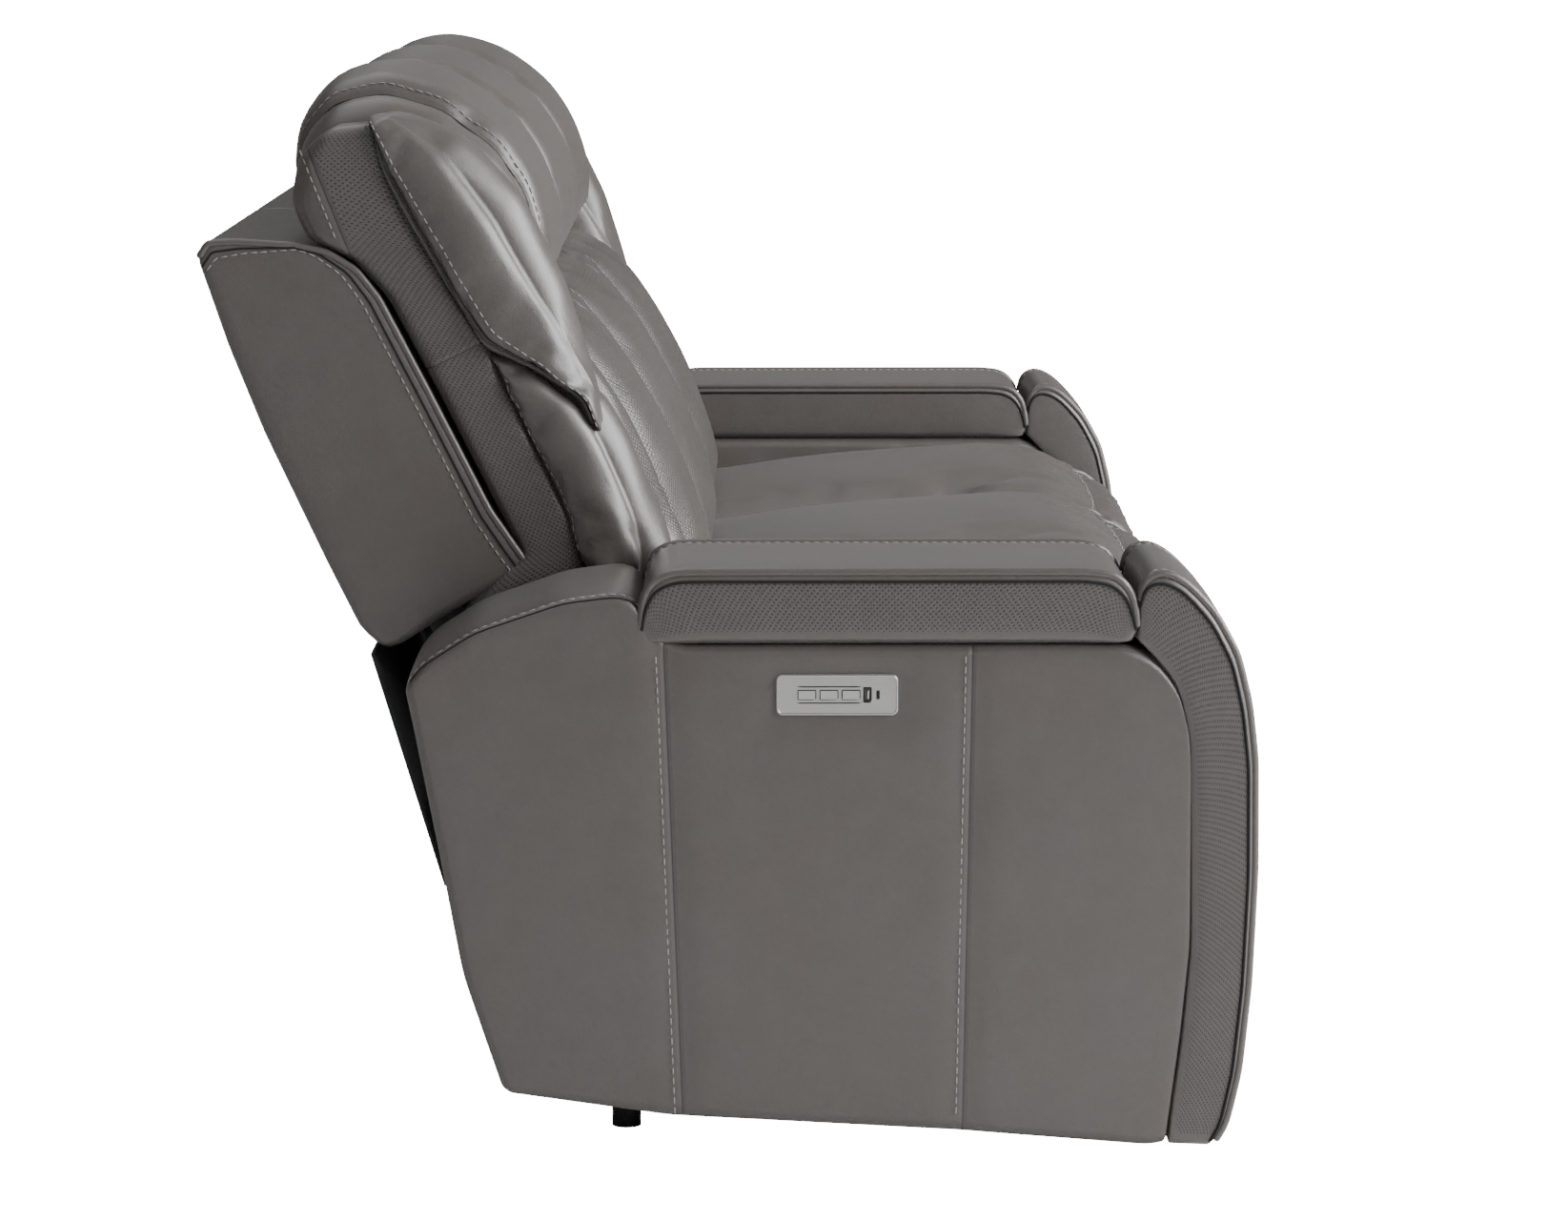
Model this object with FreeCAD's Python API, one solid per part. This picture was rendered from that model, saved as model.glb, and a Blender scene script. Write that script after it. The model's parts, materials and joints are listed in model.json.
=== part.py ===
import FreeCAD, Part
import os

# Three-seat power reclining sofa.  Millimetres, +Z up, the front faces -Y, "right" is the sitter's right (-X).
os.makedirs("parts", exist_ok=True)

# ---- driving dimensions ----
OVERALL_W = 2200.0
ARM_W = 245.0
SEAT_PITCH = (OVERALL_W - 2 * ARM_W) / 3      # 570
SEAT_W = 566.0                                # each seat module leaves 2 mm to its neighbours on either side
ARM_IN = OVERALL_W / 2 - ARM_W                # 855, inner face of an arm
FRONT_Y = -540.0
WALL = 26.0                                   # padding and board of the hollow upholstered bodies
WING_W = 88.0                                 # outer bolster of an end back
PAD_Z0, PAD_Z1 = 525.0, 600.0                 # arm pad
SEAT_FRAME_Z0, SEAT_FRAME_Z1 = 340.0, 398.0
LINK_LEN = 150.0                              # footrest link, pivot to pivot
FOOT_Y, FOOT_Z = -440.0, 330.0                # footrest pivot on the seat frame
BACK_Y, BACK_Z = 110.0, 370.0                 # recline pivot
HEAD_Y, HEAD_Z = 226.0, 829.0                 # headrest pivot
PIN_R, PIN_FIT = 5.0, 0.05
STEEL = 4.0
PLATE_Y, PLATE_Z = -119.0, 475.0              # centre of the control plate
PLATE_L, PLATE_H, PLATE_T = 122.0, 42.0, 3.0
BUTTON_L, BUTTON_H, BUTTON_GAP = 17.0, 8.6, 0.1
BUTTON_Y = (-88.6, -110.6, -132.6)
USB_A_Y, USB_C_Y = -149.0, -159.5

SIDES = (("right", -1), ("left", 1))


def V(x, y, z):
    return FreeCAD.Vector(x, y, z)


def box(x0, x1, y0, y1, z0, z1, r=0.0):
    """Box between the given limits, all edges rounded by r."""
    x0, x1 = min(x0, x1), max(x0, x1)
    s = Part.makeBox(x1 - x0, y1 - y0, z1 - z0, V(x0, y0, z0))
    return s.makeFillet(r, s.Edges) if r else s


def slab(outline, x0, x1, smooth=True, r=14.0):
    """Side outline of (y, z) points swept along X; smooth rounds its corners over about r."""
    x0, x1 = min(x0, x1), max(x0, x1)
    pts = [V(x0, y, z) for y, z in outline]
    if smooth:
        poles = []
        for a, b in zip(pts, pts[1:] + pts[:1]):
            poles.append(a)
            d = b - a
            if d.Length > 2.2 * r:
                poles += [a + d * (r / d.Length), b - d * (r / d.Length)]
        c = Part.BSplineCurve()
        c.buildFromPoles(poles, True, 2)
        wire = Part.Wire([c.toShape()])
    else:
        wire = Part.makePolygon(pts + [pts[0]])
    return Part.Face(wire).extrude(V(x1 - x0, 0, 0))


def rod(x0, x1, y, z, r):
    """Round bar along X."""
    x0, x1 = min(x0, x1), max(x0, x1)
    return Part.makeCylinder(r, x1 - x0, V(x0, y, z), V(1, 0, 0))


def bar(a, b, x0, x1, r):
    """Flat link with round ends between the (y, z) centres a and b."""
    x0, x1 = min(x0, x1), max(x0, x1)
    dy, dz = b[0] - a[0], b[1] - a[1]
    n = (dy * dy + dz * dz) ** 0.5
    ny, nz = -dz / n * r, dy / n * r
    mid = slab([(a[0] + ny, a[1] + nz), (b[0] + ny, b[1] + nz),
                (b[0] - ny, b[1] - nz), (a[0] - ny, a[1] - nz)], x0, x1, smooth=False)
    return fuse([mid, rod(x0, x1, *a, r), rod(x0, x1, *b, r)])


def fuse(shapes):
    s = shapes[0]
    if len(shapes) > 1:
        s = s.multiFuse(shapes[1:])
    return s.removeSplitter()


def cut(shape, tools):
    for t in tools:
        shape = shape.cut(t)
    return shape


def save(name, shape):
    shape.exportStep("parts/%s.step" % name)


def bored(shape, x0, x1, y, z):
    """Running-fit pin hole along X."""
    return shape.cut(rod(x0, x1, y, z, PIN_R + PIN_FIT))


# ---- side outlines (y, z) ----
ARM_OUTLINE = [(217, 69), (257, 189), (280, 316), (308, 456), (313, 483), (296, 506), (243, 540), (155, 571),
               (82, 576), (80, 524), (-410, 524), (-440, 510), (-463, 480), (-474, 430), (-476, 217),
               (-468, 125), (-452, 19), (-437, 13), (-238, 29), (49, 45)]
ARM_CAVITY = [(190, 96), (228, 200), (250, 316), (272, 440), (230, 505), (150, 535), (60, 496), (-400, 496),
              (-436, 470), (-446, 430), (-448, 217), (-440, 130), (-430, 45), (-238, 58), (49, 74)]
WING_FRONT = [(-421, 527), (-421, 585), (-428, 600), (-442, 601), (-465, 592), (-496, 562), (-520, 520),
              (-533, 470), (-540, 412), (-540, 300), (-535, 180), (-526, 90), (-514, 30), (-484, 12),
              (-456, 18), (-471, 125), (-478, 217), (-477, 430), (-465, 482), (-442, 512)]
SHELL_OUTLINE = [(500, 906), (532, 912), (542, 901), (509, 800), (473, 709), (410, 574), (376, 503), (360, 484),
                 (345, 484), (290, 520), (195, 572), (236, 631), (298, 754), (349, 852), (390, 892), (441, 905)]
SHELL_CAVITY = [(500, 888), (516, 888), (486, 800), (452, 709), (392, 574), (359, 508), (320, 470), (240, 480),
                (180, 560), (236, 655), (280, 754), (325, 840), (390, 872), (441, 885)]
WING_BACK = [(150, 545), (85, 540), (62, 567), (80, 627), (110, 700), (170, 855), (217, 943), (272, 1010),
             (345, 1044), (398, 1030), (431, 1000), (441, 950), (428, 910), (388, 894), (346, 853), (295, 756),
             (232, 632), (192, 573)]
CUSHION_BACK = [(60, 490), (16, 500), (22, 550), (50, 615), (74, 670), (98, 718), (127, 767), (158, 806),
                (180, 818), (240, 806), (300, 822), (318, 836), (295, 756), (232, 632), (190, 570), (130, 520)]
PILLOW = [(196, 836), (180, 870), (182, 920), (196, 972), (228, 1019), (288, 1066), (354, 1083), (412, 1070),
          (446, 1025), (452, 970), (430, 915), (390, 898), (330, 880), (262, 846)]
SEAT_TOP = [(70, 402), (78, 440), (60, 470), (-20, 482), (-130, 497), (-250, 515), (-350, 526), (-430, 521),
            (-496, 500), (-534, 458), (-530, 420), (-500, 404), (-430, 400), (-200, 400)]
FOOT_PAD = [(-499, 62), (-499, 384), (-508, 387), (-522, 384), (-533, 365), (-538, 300), (-538, 150),
            (-532, 80), (-520, 62)]


# ---- arms: frame, hollow upholstered body, top pad, front roll ----
arm_posts = []
for side, s in SIDES:
    x_out, x_in = s * OVERALL_W / 2, s * ARM_IN
    a0, a1 = s * (ARM_IN + WALL), s * (OVERALL_W / 2 - WALL)
    feet_here = [Part.makeCylinder(15, 80, V(s * 948, y, 0)) for y in (-400, 96)]
    plate_pocket = box(s * (OVERALL_W / 2 - 24), s * (OVERALL_W / 2 + 5), PLATE_Y - PLATE_L / 2 + 6,
                       PLATE_Y + PLATE_L / 2 - 6, PLATE_Z - 15, PLATE_Z + 15)
    plate_seat = box(s * (OVERALL_W / 2 - 1), s * (OVERALL_W / 2 + 5), PLATE_Y - PLATE_L / 2,
                     PLATE_Y + PLATE_L / 2, PLATE_Z - PLATE_H / 2, PLATE_Z + PLATE_H / 2)
    body = slab(ARM_OUTLINE, x_in, x_out, smooth=False)
    body = cut(body, [slab(ARM_CAVITY, a0, a1, smooth=False), plate_pocket, plate_seat] + feet_here)
    save("arm_body_" + side, body)
    for y0, y1 in ((-420, -380), (-20, 20), (150, 190)):
        arm_posts.append(box(a0, a1, y0, y1, 160, 400))
    arm_posts.append(box(a0, a1, -440, 200, 130, 160))
    arm_posts.append(box(a0, a1, -420, 200, 400, 425))
    save("arm_pad_" + side, box(s * (ARM_IN + 1), x_out, -418, 78, PAD_Z0, PAD_Z1, 26))
    save("arm_front_" + side, slab(WING_FRONT, x_in, x_out))
save("arm_frames", fuse(arm_posts))

# ---- base: rails, stretchers, feet, bottom cloth ----
rails = [box(-ARM_IN, ARM_IN, -430, -402, 52, 110), box(-ARM_IN, ARM_IN, 150, 178, 72, 130)]
centres = (-SEAT_PITCH, 0.0, SEAT_PITCH)
for c in centres:
    for s in (-1, 1):
        rails.append(box(c + s * 246, c + s * 280, -402, 150, 72, 110))
save("base_rails", fuse(rails))
feet = []
for x, y in [(s * 948, y) for s in (-1, 1) for y in (-400, 96)]:
    feet.append(Part.makeCylinder(15, 48, V(x, y, 0)))
for x in (-285, 285):
    feet.append(Part.makeCylinder(15, 52, V(x, -416, 0)))
    feet.append(Part.makeCylinder(15, 72, V(x, 164, 0)))
save("feet", Part.makeCompound(feet))
save("bottom_cloth", box(-ARM_IN + 1, ARM_IN - 1, -400, 148, 70, 71.5))

# ---- seat frames (steel) under the three seats ----
for name, c in (("right", -SEAT_PITCH), ("middle", 0.0), ("left", SEAT_PITCH)):
    parts = []
    for s in (-1, 1):
        xa, xb = c + s * 262, c + s * (262 + STEEL)
        parts.append(box(xa, xb, -455, 60, SEAT_FRAME_Z0, SEAT_FRAME_Z1))
        parts.append(slab([(30, 345), (60, 345), (BACK_Y + 16, BACK_Z - 18), (BACK_Y + 16, BACK_Z + 18),
                           (60, SEAT_FRAME_Z1), (30, SEAT_FRAME_Z1)], xa, xb, smooth=False))
        for y in (-380, 10):
            parts.append(box(xa, xb, y, y + 34, 110, SEAT_FRAME_Z0 + 5))
        if name != "middle":
            parts.append(box(c + s * 224, c + s * (224 + STEEL), FOOT_Y - 14, FOOT_Y + 14, FOOT_Z - 14, 372))
            parts.append(rod(c + s * (224 + STEEL), c + s * (224 + STEEL + 6.5), FOOT_Y, FOOT_Z, PIN_R))
            parts.append(rod(xa, c + s * 255, BACK_Y, BACK_Z, PIN_R))
    for y in (-455, -110):
        parts.append(box(c - 262, c + 262, y, y + 30, 370, SEAT_FRAME_Z1))
    save("seat_frame_" + name, fuse(parts))
    save("seat_cushion_" + name, slab(SEAT_TOP, c - SEAT_W / 2, c + SEAT_W / 2))

# ---- backs: shell, centre cushion, headrest pillow; end backs also carry an outer bolster ----
for name, c in (("right", -SEAT_PITCH), ("middle", 0.0), ("left", SEAT_PITCH)):
    x0, x1 = c - SEAT_W / 2, c + SEAT_W / 2
    shell = slab(SHELL_OUTLINE, x0, x1).cut(slab(SHELL_CAVITY, x0 + 16, x1 - 16, smooth=False))
    save("back_shell_" + name, shell)
    if name == "right":
        save("back_bolster_right", slab(WING_BACK, x0, x0 + WING_W))
        x0 += WING_W + 2
    if name == "left":
        save("back_bolster_left", slab(WING_BACK, x1 - WING_W, x1))
        x1 -= WING_W + 2
    save("back_cushion_" + name, slab(CUSHION_BACK, x0, x1))
    pillow = slab(PILLOW, x0 + 2, x1 - 2)
    save("rear_cloth_" + name, slab([(364, 478), (361, 479), (286, 232), (289, 231)], c - 270, c + 270, smooth=False))
    plates = []
    for s in (-1, 1):
        xa, xb = c + s * 256, c + s * (256 + STEEL)
        low = bar((BACK_Y, BACK_Z), (262, 505), xa, xb, 14)
        high = slab([(240, 500), (300, 500), (430, 780), (400, 800)], c + s * 250, c + s * 256, smooth=False)
        plates.append(fuse([bored(low, c + s * 250, c + s * 262, BACK_Y, BACK_Z), high,
                            bar((262, 505), (275, 520), c + s * 250, xb, 10)]))
    cross = [rod(c - 250, c + 250, 290, 540, 9), rod(c - 250, c + 250, 405, 770, 9)]
    if name != "middle":
        arms = []
        for s in (-1, 1):
            xa, xb = c + s * 120, c + s * 125
            cross += [bar((405, 770), (335, 846), xa, xb, 6), bar((335, 846), (HEAD_Y, HEAD_Z), xa, xb, 5),
                      rod(xa, c + s * 132, HEAD_Y, HEAD_Z, 4)]
            arm = bar((HEAD_Y, HEAD_Z), (250, 880), c + s * 127, c + s * 131, 8)
            arms.append(arm.cut(rod(c + s * 125, c + s * 133, HEAD_Y, HEAD_Z, 4 + PIN_FIT)))
        save("headrest_arms_" + name, Part.makeCompound(arms))
        pillow = cut(pillow, [bar((HEAD_Y, HEAD_Z), (250, 880), c + s * 126.7, c + s * 131.3, 8.3) for s in (-1, 1)])
    save("headrest_pillow_" + name, pillow)
    save("back_frame_" + name, fuse(plates + cross))

# ---- footrests of the end seats ----
for name, c in (("right", -SEAT_PITCH), ("left", SEAT_PITCH)):
    low_z = FOOT_Z - LINK_LEN
    lift, reach, brackets = [], [], []
    for s in (-1, 1):
        x1a, x1b = c + s * 230, c + s * 234
        x2a, x2b = c + s * 236, c + s * 240
        x3a, x3b = c + s * 242, c + s * 246
        one = bored(bar((FOOT_Y, FOOT_Z), (FOOT_Y, low_z), x1a, x1b, 11), x1a, x1b, FOOT_Y, FOOT_Z)
        lift += [one, rod(x1b, c + s * 240.5, FOOT_Y, low_z, PIN_R)]
        two = bored(bar((FOOT_Y, FOOT_Z), (FOOT_Y, low_z), x2a, x2b, 11), x2a, x2b, FOOT_Y, low_z)
        reach.append(fuse([two, rod(x2b, c + s * 246.5, FOOT_Y, FOOT_Z, PIN_R)]))
        ear = fuse([bar((FOOT_Y, FOOT_Z), (FOOT_Y - 30, FOOT_Z), x3a, x3b, 11),
                    box(x3a, x3b, -482, -462, 200, 350)])
        flange = box(x3b, x3b - s * 34, -482, -479, 200, 350)
        brackets.append(bored(fuse([ear, flange]), x3a, x3b, FOOT_Y, FOOT_Z))
    lift.append(rod(c - 230, c + 230, FOOT_Y, FOOT_Z - 90, 9))
    save("footrest_lift_links_" + name, fuse(lift))
    save("footrest_reach_links_" + name, Part.makeCompound(reach))
    save("footrest_brackets_" + name, Part.makeCompound(brackets))
    save("footrest_board_" + name, box(c - 270, c + 270, -498, -482, 75, 378))
    save("footrest_pad_" + name, slab(FOOT_PAD, c - SEAT_W / 2, c + SEAT_W / 2))
save("front_panel_middle", slab(FOOT_PAD, -SEAT_W / 2, SEAT_W / 2))
save("front_board_middle", box(-270, 270, -498, -482, 75, 378))

# ---- drive units under the end seats, supply box ----
for name, c in (("right", -SEAT_PITCH), ("left", SEAT_PITCH)):
    unit = []
    for y, x in ((-100, 60 if c < 0 else -60), (0, -60 if c < 0 else 60)):
        gear = box(c + x - 35, c + x + 35, y - 10, y + 40, 215, 290, 8)
        motor = Part.makeCylinder(22, 80, V(c + x, y - 88, 252), V(0, 1, 0))
        unit.append(fuse([gear, motor]))
    unit.append(box(c - 4, c + 4, -110, 40, 290, 370))
    unit.append(box(c - 90, c + 90, -108, 38, 286, 292))
    save("drive_units_" + name, fuse(unit))
supply = box(-70, 70, 20, 80, 112, 150, 6)
save("power_supply", fuse([supply, box(-261, 261, 45, 65, 110, 114)]))

# ---- control plates on the outer faces of the arms ----
for side, s in SIDES:
    xf = s * (OVERALL_W / 2 + PLATE_T - 1)
    xb = s * (OVERALL_W / 2 - 1)
    plate = box(xb, xf, PLATE_Y - PLATE_L / 2 + 0.5, PLATE_Y + PLATE_L / 2 - 0.5,
                PLATE_Z - PLATE_H / 2 + 0.5, PLATE_Z + PLATE_H / 2 - 0.5)
    plate = plate.makeFillet(6, [e for e in plate.Edges if abs(e.Length - PLATE_T) < 0.01])
    holes = [box(xb - s, xf + s, y - BUTTON_L / 2, y + BUTTON_L / 2,
                 PLATE_Z - BUTTON_H / 2, PLATE_Z + BUTTON_H / 2) for y in BUTTON_Y]
    holes.append(box(xb - s, xf + s, USB_A_Y - 3, USB_A_Y + 3, PLATE_Z - 6.5, PLATE_Z + 6.5))
    holes.append(box(xb - s, xf + s, USB_C_Y - 1.7, USB_C_Y + 1.7, PLATE_Z - 4.5, PLATE_Z + 4.5))
    save("control_plate_" + side, cut(plate, holes))
    ports = []
    for y, hy, hz in ((USB_A_Y, 3, 6.5), (USB_C_Y, 1.7, 4.5)):
        shell = box(xb, xb - s * 14, y - hy - 1, y + hy + 1, PLATE_Z - hz - 1, PLATE_Z + hz + 1)
        ports.append(shell.cut(box(xb, xb - s * 12, y - hy, y + hy, PLATE_Z - hz, PLATE_Z + hz)))
    save("usb_ports_" + side, fuse(ports))
    for key, y in zip(("recline", "lift", "head"), BUTTON_Y):
        cap = box(xf + s * 2, xb - s * 6, y - BUTTON_L / 2 + BUTTON_GAP, y + BUTTON_L / 2 - BUTTON_GAP,
                  PLATE_Z - BUTTON_H / 2 + BUTTON_GAP, PLATE_Z + BUTTON_H / 2 - BUTTON_GAP)
        save("button_%s_%s" % (key, side), cap)
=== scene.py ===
import json
import bpy
import numpy as np
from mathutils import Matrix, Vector


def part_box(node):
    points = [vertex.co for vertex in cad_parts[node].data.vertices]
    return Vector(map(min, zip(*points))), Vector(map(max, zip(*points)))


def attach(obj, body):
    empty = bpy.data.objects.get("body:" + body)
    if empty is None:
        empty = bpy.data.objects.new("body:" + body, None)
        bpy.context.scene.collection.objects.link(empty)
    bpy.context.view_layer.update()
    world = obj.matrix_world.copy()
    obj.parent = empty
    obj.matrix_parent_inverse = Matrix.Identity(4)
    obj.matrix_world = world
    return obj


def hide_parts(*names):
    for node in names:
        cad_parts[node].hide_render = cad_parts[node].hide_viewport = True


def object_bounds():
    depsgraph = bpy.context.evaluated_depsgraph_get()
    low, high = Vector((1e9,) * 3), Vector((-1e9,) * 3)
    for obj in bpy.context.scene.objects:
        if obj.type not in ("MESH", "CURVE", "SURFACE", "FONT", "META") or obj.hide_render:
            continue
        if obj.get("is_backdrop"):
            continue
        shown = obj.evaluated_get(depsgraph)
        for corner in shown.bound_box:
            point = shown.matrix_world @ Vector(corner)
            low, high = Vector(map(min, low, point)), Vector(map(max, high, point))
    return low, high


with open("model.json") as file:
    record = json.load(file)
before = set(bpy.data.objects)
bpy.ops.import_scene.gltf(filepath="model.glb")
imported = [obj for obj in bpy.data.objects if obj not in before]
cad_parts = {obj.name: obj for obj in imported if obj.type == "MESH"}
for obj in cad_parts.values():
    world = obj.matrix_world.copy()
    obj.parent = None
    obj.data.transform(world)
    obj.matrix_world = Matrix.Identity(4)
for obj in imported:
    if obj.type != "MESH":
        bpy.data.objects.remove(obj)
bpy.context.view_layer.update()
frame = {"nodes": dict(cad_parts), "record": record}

# ---------------------------------------------------------------- Arm bodies
# A hollow plywood arm, padded and covered in grey leather.  Two vertical seams, each a plain seam with a row
# of contrast stitches beside it, divide the outer side; a stitched seam runs along the top edge behind the pad.


def tailors_line(marks, ease=0.02, n=500):
    """A soft line through marks (y, z) in mm: straight runs by arc length, averaged twice over a short
    stretch so that the corners round; returned in metres."""
    p = np.asarray(marks, float) / 1000
    d = np.r_[0, np.cumsum(np.hypot(*np.diff(p, axis=0).T))]
    u = np.linspace(0, d[-1], n)
    q = np.c_[np.interp(u, d, p[:, 0]), np.interp(u, d, p[:, 1])]
    k = max(1, int(ease * n))
    for _ in range(2):
        q = np.r_[2 * q[:1] - q[k:0:-1], q, 2 * q[-1:] - q[-2:-k - 2:-1]]
        c = np.cumsum(np.r_[np.zeros((1, 2)), q], axis=0)
        q = (c[2 * k + 1:] - c[:-2 * k - 1]) / (2 * k + 1)
    return q


def along(line, s):
    """Point of a line at the fraction s of its length, running on straight past its ends."""
    g = np.linspace(0, 1, len(line))
    c = np.clip(s, 0, 1)
    over = (s - c)[..., None]
    end = np.where(over > 0, line[-1] - line[-8], line[7] - line[0]) * (len(line) - 1) / 7
    return np.stack([np.interp(c, g, line[:, 0]), np.interp(c, g, line[:, 1])], -1) + over * end


def line_length(line):
    """Sum of the distances between the points of a line."""
    return float(np.hypot(*np.diff(line, axis=0).T).sum())


def side_shape(a, b, start=None, end=None):
    """Side view of a piece between two long lines a and b: straight blend from a (t=0) to b (t=1), corrected at
    the ends so that it follows the start and end lines."""
    def shape(s, t):
        s, t = np.broadcast_arrays(np.asarray(s, float), np.asarray(t, float))
        p = along(a, s) * (1 - t)[..., None] + along(b, s) * t[..., None]
        for line, i, wgt in ((start, 0, 1 - s), (end, -1, s)):
            if line is not None:
                straight = a[i] * (1 - t)[..., None] + b[i] * t[..., None]
                p = p + wgt[..., None] * (along(line, t) - straight)
        return p
    la, lb = line_length(a), line_length(b)
    mid = np.hypot(*(along(a, np.array(0.5)) - along(b, np.array(0.5))))
    shape.size = ((la + lb) / 2, float(mid))
    return shape


def stuffed(shape, x0, x1, edge, relief=None):
    """Rounded box bent to a side shape.  A point of the box is clamped to the box shrunk by the edge radii, one or
    a table of (start, end) for length, depth and width, and pushed out onto the quarter ellipse over them and on
    by the relief height; length and depth then follow the shape, width is X."""
    size = np.array([shape.size[0], shape.size[1], x1 - x0])
    e = np.array(np.broadcast_to(edge, (3, 2)), float)

    def place(s, t, w, lift=0.0):
        s, t, w = np.broadcast_arrays(*(np.asarray(v, float) for v in (s, t, w)))
        p = np.stack([s, t, w], -1) * size
        q = np.clip(p, e[:, 0], size - e[:, 1])
        r = np.where(p < q, e[:, 0], e[:, 1])
        n = (p - q) / r
        n /= np.maximum(np.linalg.norm(n, axis=-1, keepdims=True), 1e-9)
        d = n / r
        d /= np.maximum(np.linalg.norm(d, axis=-1, keepdims=True), 1e-9)
        h = lift + (relief(s, t, w, d) if relief else 0 * s)
        p = q + n * r + d * h[..., None]
        yz = shape(p[..., 0] / size[0], p[..., 1] / size[1])
        return np.stack([x0 + p[..., 2], yz[..., 0], yz[..., 1]], -1)
    place.size, place.edge = size, e
    return place


def spacing(length, edge, step, marks=()):
    """Grid lines from 0 to 1: close together over the rounded ends and at the marks, about one step elsewhere."""
    ends = np.array([0, 0.12, 0.25, 0.4, 0.6, 0.8, 1.0])
    e, f = edge / length
    n = max(2, int(round(length * (1 - e - f) / step)))
    g = np.r_[ends * e, np.linspace(e, 1 - f, n + 1), 1 - ends * f]
    for m in marks:
        g = np.r_[g[np.abs(g - m) > 0.0045 / length], m + np.array([-0.004, -0.0015, 0, 0.0015, 0.004]) / length]
    return np.unique(np.round(g[(g >= 0) & (g <= 1)], 6))


def mesh_piece(name, co, ids, uv=None):
    """Mesh object from arrays of points and four-sided faces, shaded smooth."""
    me = bpy.data.meshes.new(name)
    me.vertices.add(len(co))
    me.vertices.foreach_set("co", np.asarray(co, "f4").ravel())
    me.loops.add(ids.size)
    me.loops.foreach_set("vertex_index", ids.astype("i4").ravel())
    me.polygons.add(len(ids))
    me.polygons.foreach_set("loop_start", np.arange(0, ids.size, 4, dtype="i4"))
    if uv is not None:
        me.uv_layers.new(name="panel").data.foreach_set("uv", np.asarray(uv, "f4").ravel())
    me.update(calc_edges=True)
    me.validate()
    me.polygons.foreach_set("use_smooth", np.ones(len(me.polygons), bool))
    obj = bpy.data.objects.new(name, me)
    bpy.context.scene.collection.objects.link(obj)
    return obj


GRIDS = {}  # box coordinates (s, t, w) of each cover's mesh points, by the cover's name


def sewn_cover(name, place, step=0.011, marks=((), (), ()), vents=None, seams=None):
    """Closed mesh of a stuffed form: grids on the six sides of its box share their edge points; panel coordinates
    in metres go to the UV map, the vented area and the distances to flat seams to attributes."""
    lines = [spacing(L, e, step, m) for L, e, m in zip(place.size, place.edge, marks)]
    n = [len(g) for g in lines]
    quads, uvs = [], []
    for axis in range(3):
        a, b = [k for k in range(3) if k != axis]
        i, j = np.meshgrid(np.arange(n[a] - 1), np.arange(n[b] - 1), indexing="ij")
        i, j = i.ravel(), j.ravel()
        for end in (0, n[axis] - 1):
            corners = []
            for di, dj in ((0, 0), (1, 0), (1, 1), (0, 1)):
                idx = np.zeros((len(i), 3), int)
                idx[:, a], idx[:, b], idx[:, axis] = i + di, j + dj, end
                corners.append(idx)
            c = np.stack(corners, 1)
            if (end == 0) != (axis == 1):
                c = c[:, ::-1]
            quads.append(c)
            ab = np.stack([lines[a][c[..., a]] * place.size[a], lines[b][c[..., b]] * place.size[b]], -1)
            uvs.append(ab)
    quads, uvs = np.concatenate(quads), np.concatenate(uvs)
    code = (quads[..., 0] * n[1] + quads[..., 1]) * n[2] + quads[..., 2]
    keys, ids = np.unique(code.ravel(), return_inverse=True)
    ids = ids.reshape(-1, 4)
    s, t, w = (lines[0][keys // (n[1] * n[2])], lines[1][keys // n[2] % n[1]], lines[2][keys % n[2]])
    co = place(s, t, w)
    f = co[ids]
    vol = np.einsum("ij,ij->i", f[:, 0], np.cross(f[:, 1], f[:, 2])) + np.einsum(
        "ij,ij->i", f[:, 0], np.cross(f[:, 2], f[:, 3]))
    if vol.sum() < 0:
        ids, uvs = ids[:, ::-1], uvs[:, ::-1]
    obj = mesh_piece(name, co, ids, uvs.reshape(-1, 2))
    area = vents(s, t, w, co) if vents else np.full(len(co), -1.0)
    obj.data.attributes.new("vents", "FLOAT", "POINT").data.foreach_set("value", np.asarray(area, "f4"))
    gaps = np.ones((len(co), 3))
    for k, gap in enumerate(seams(s, t, w, co) if seams else ()):
        gaps[:, k] = gap
    obj.data.attributes.new("seams", "FLOAT_VECTOR", "POINT").data.foreach_set("vector", gaps.astype("f4").ravel())
    GRIDS[name] = s, t, w
    return obj


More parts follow.
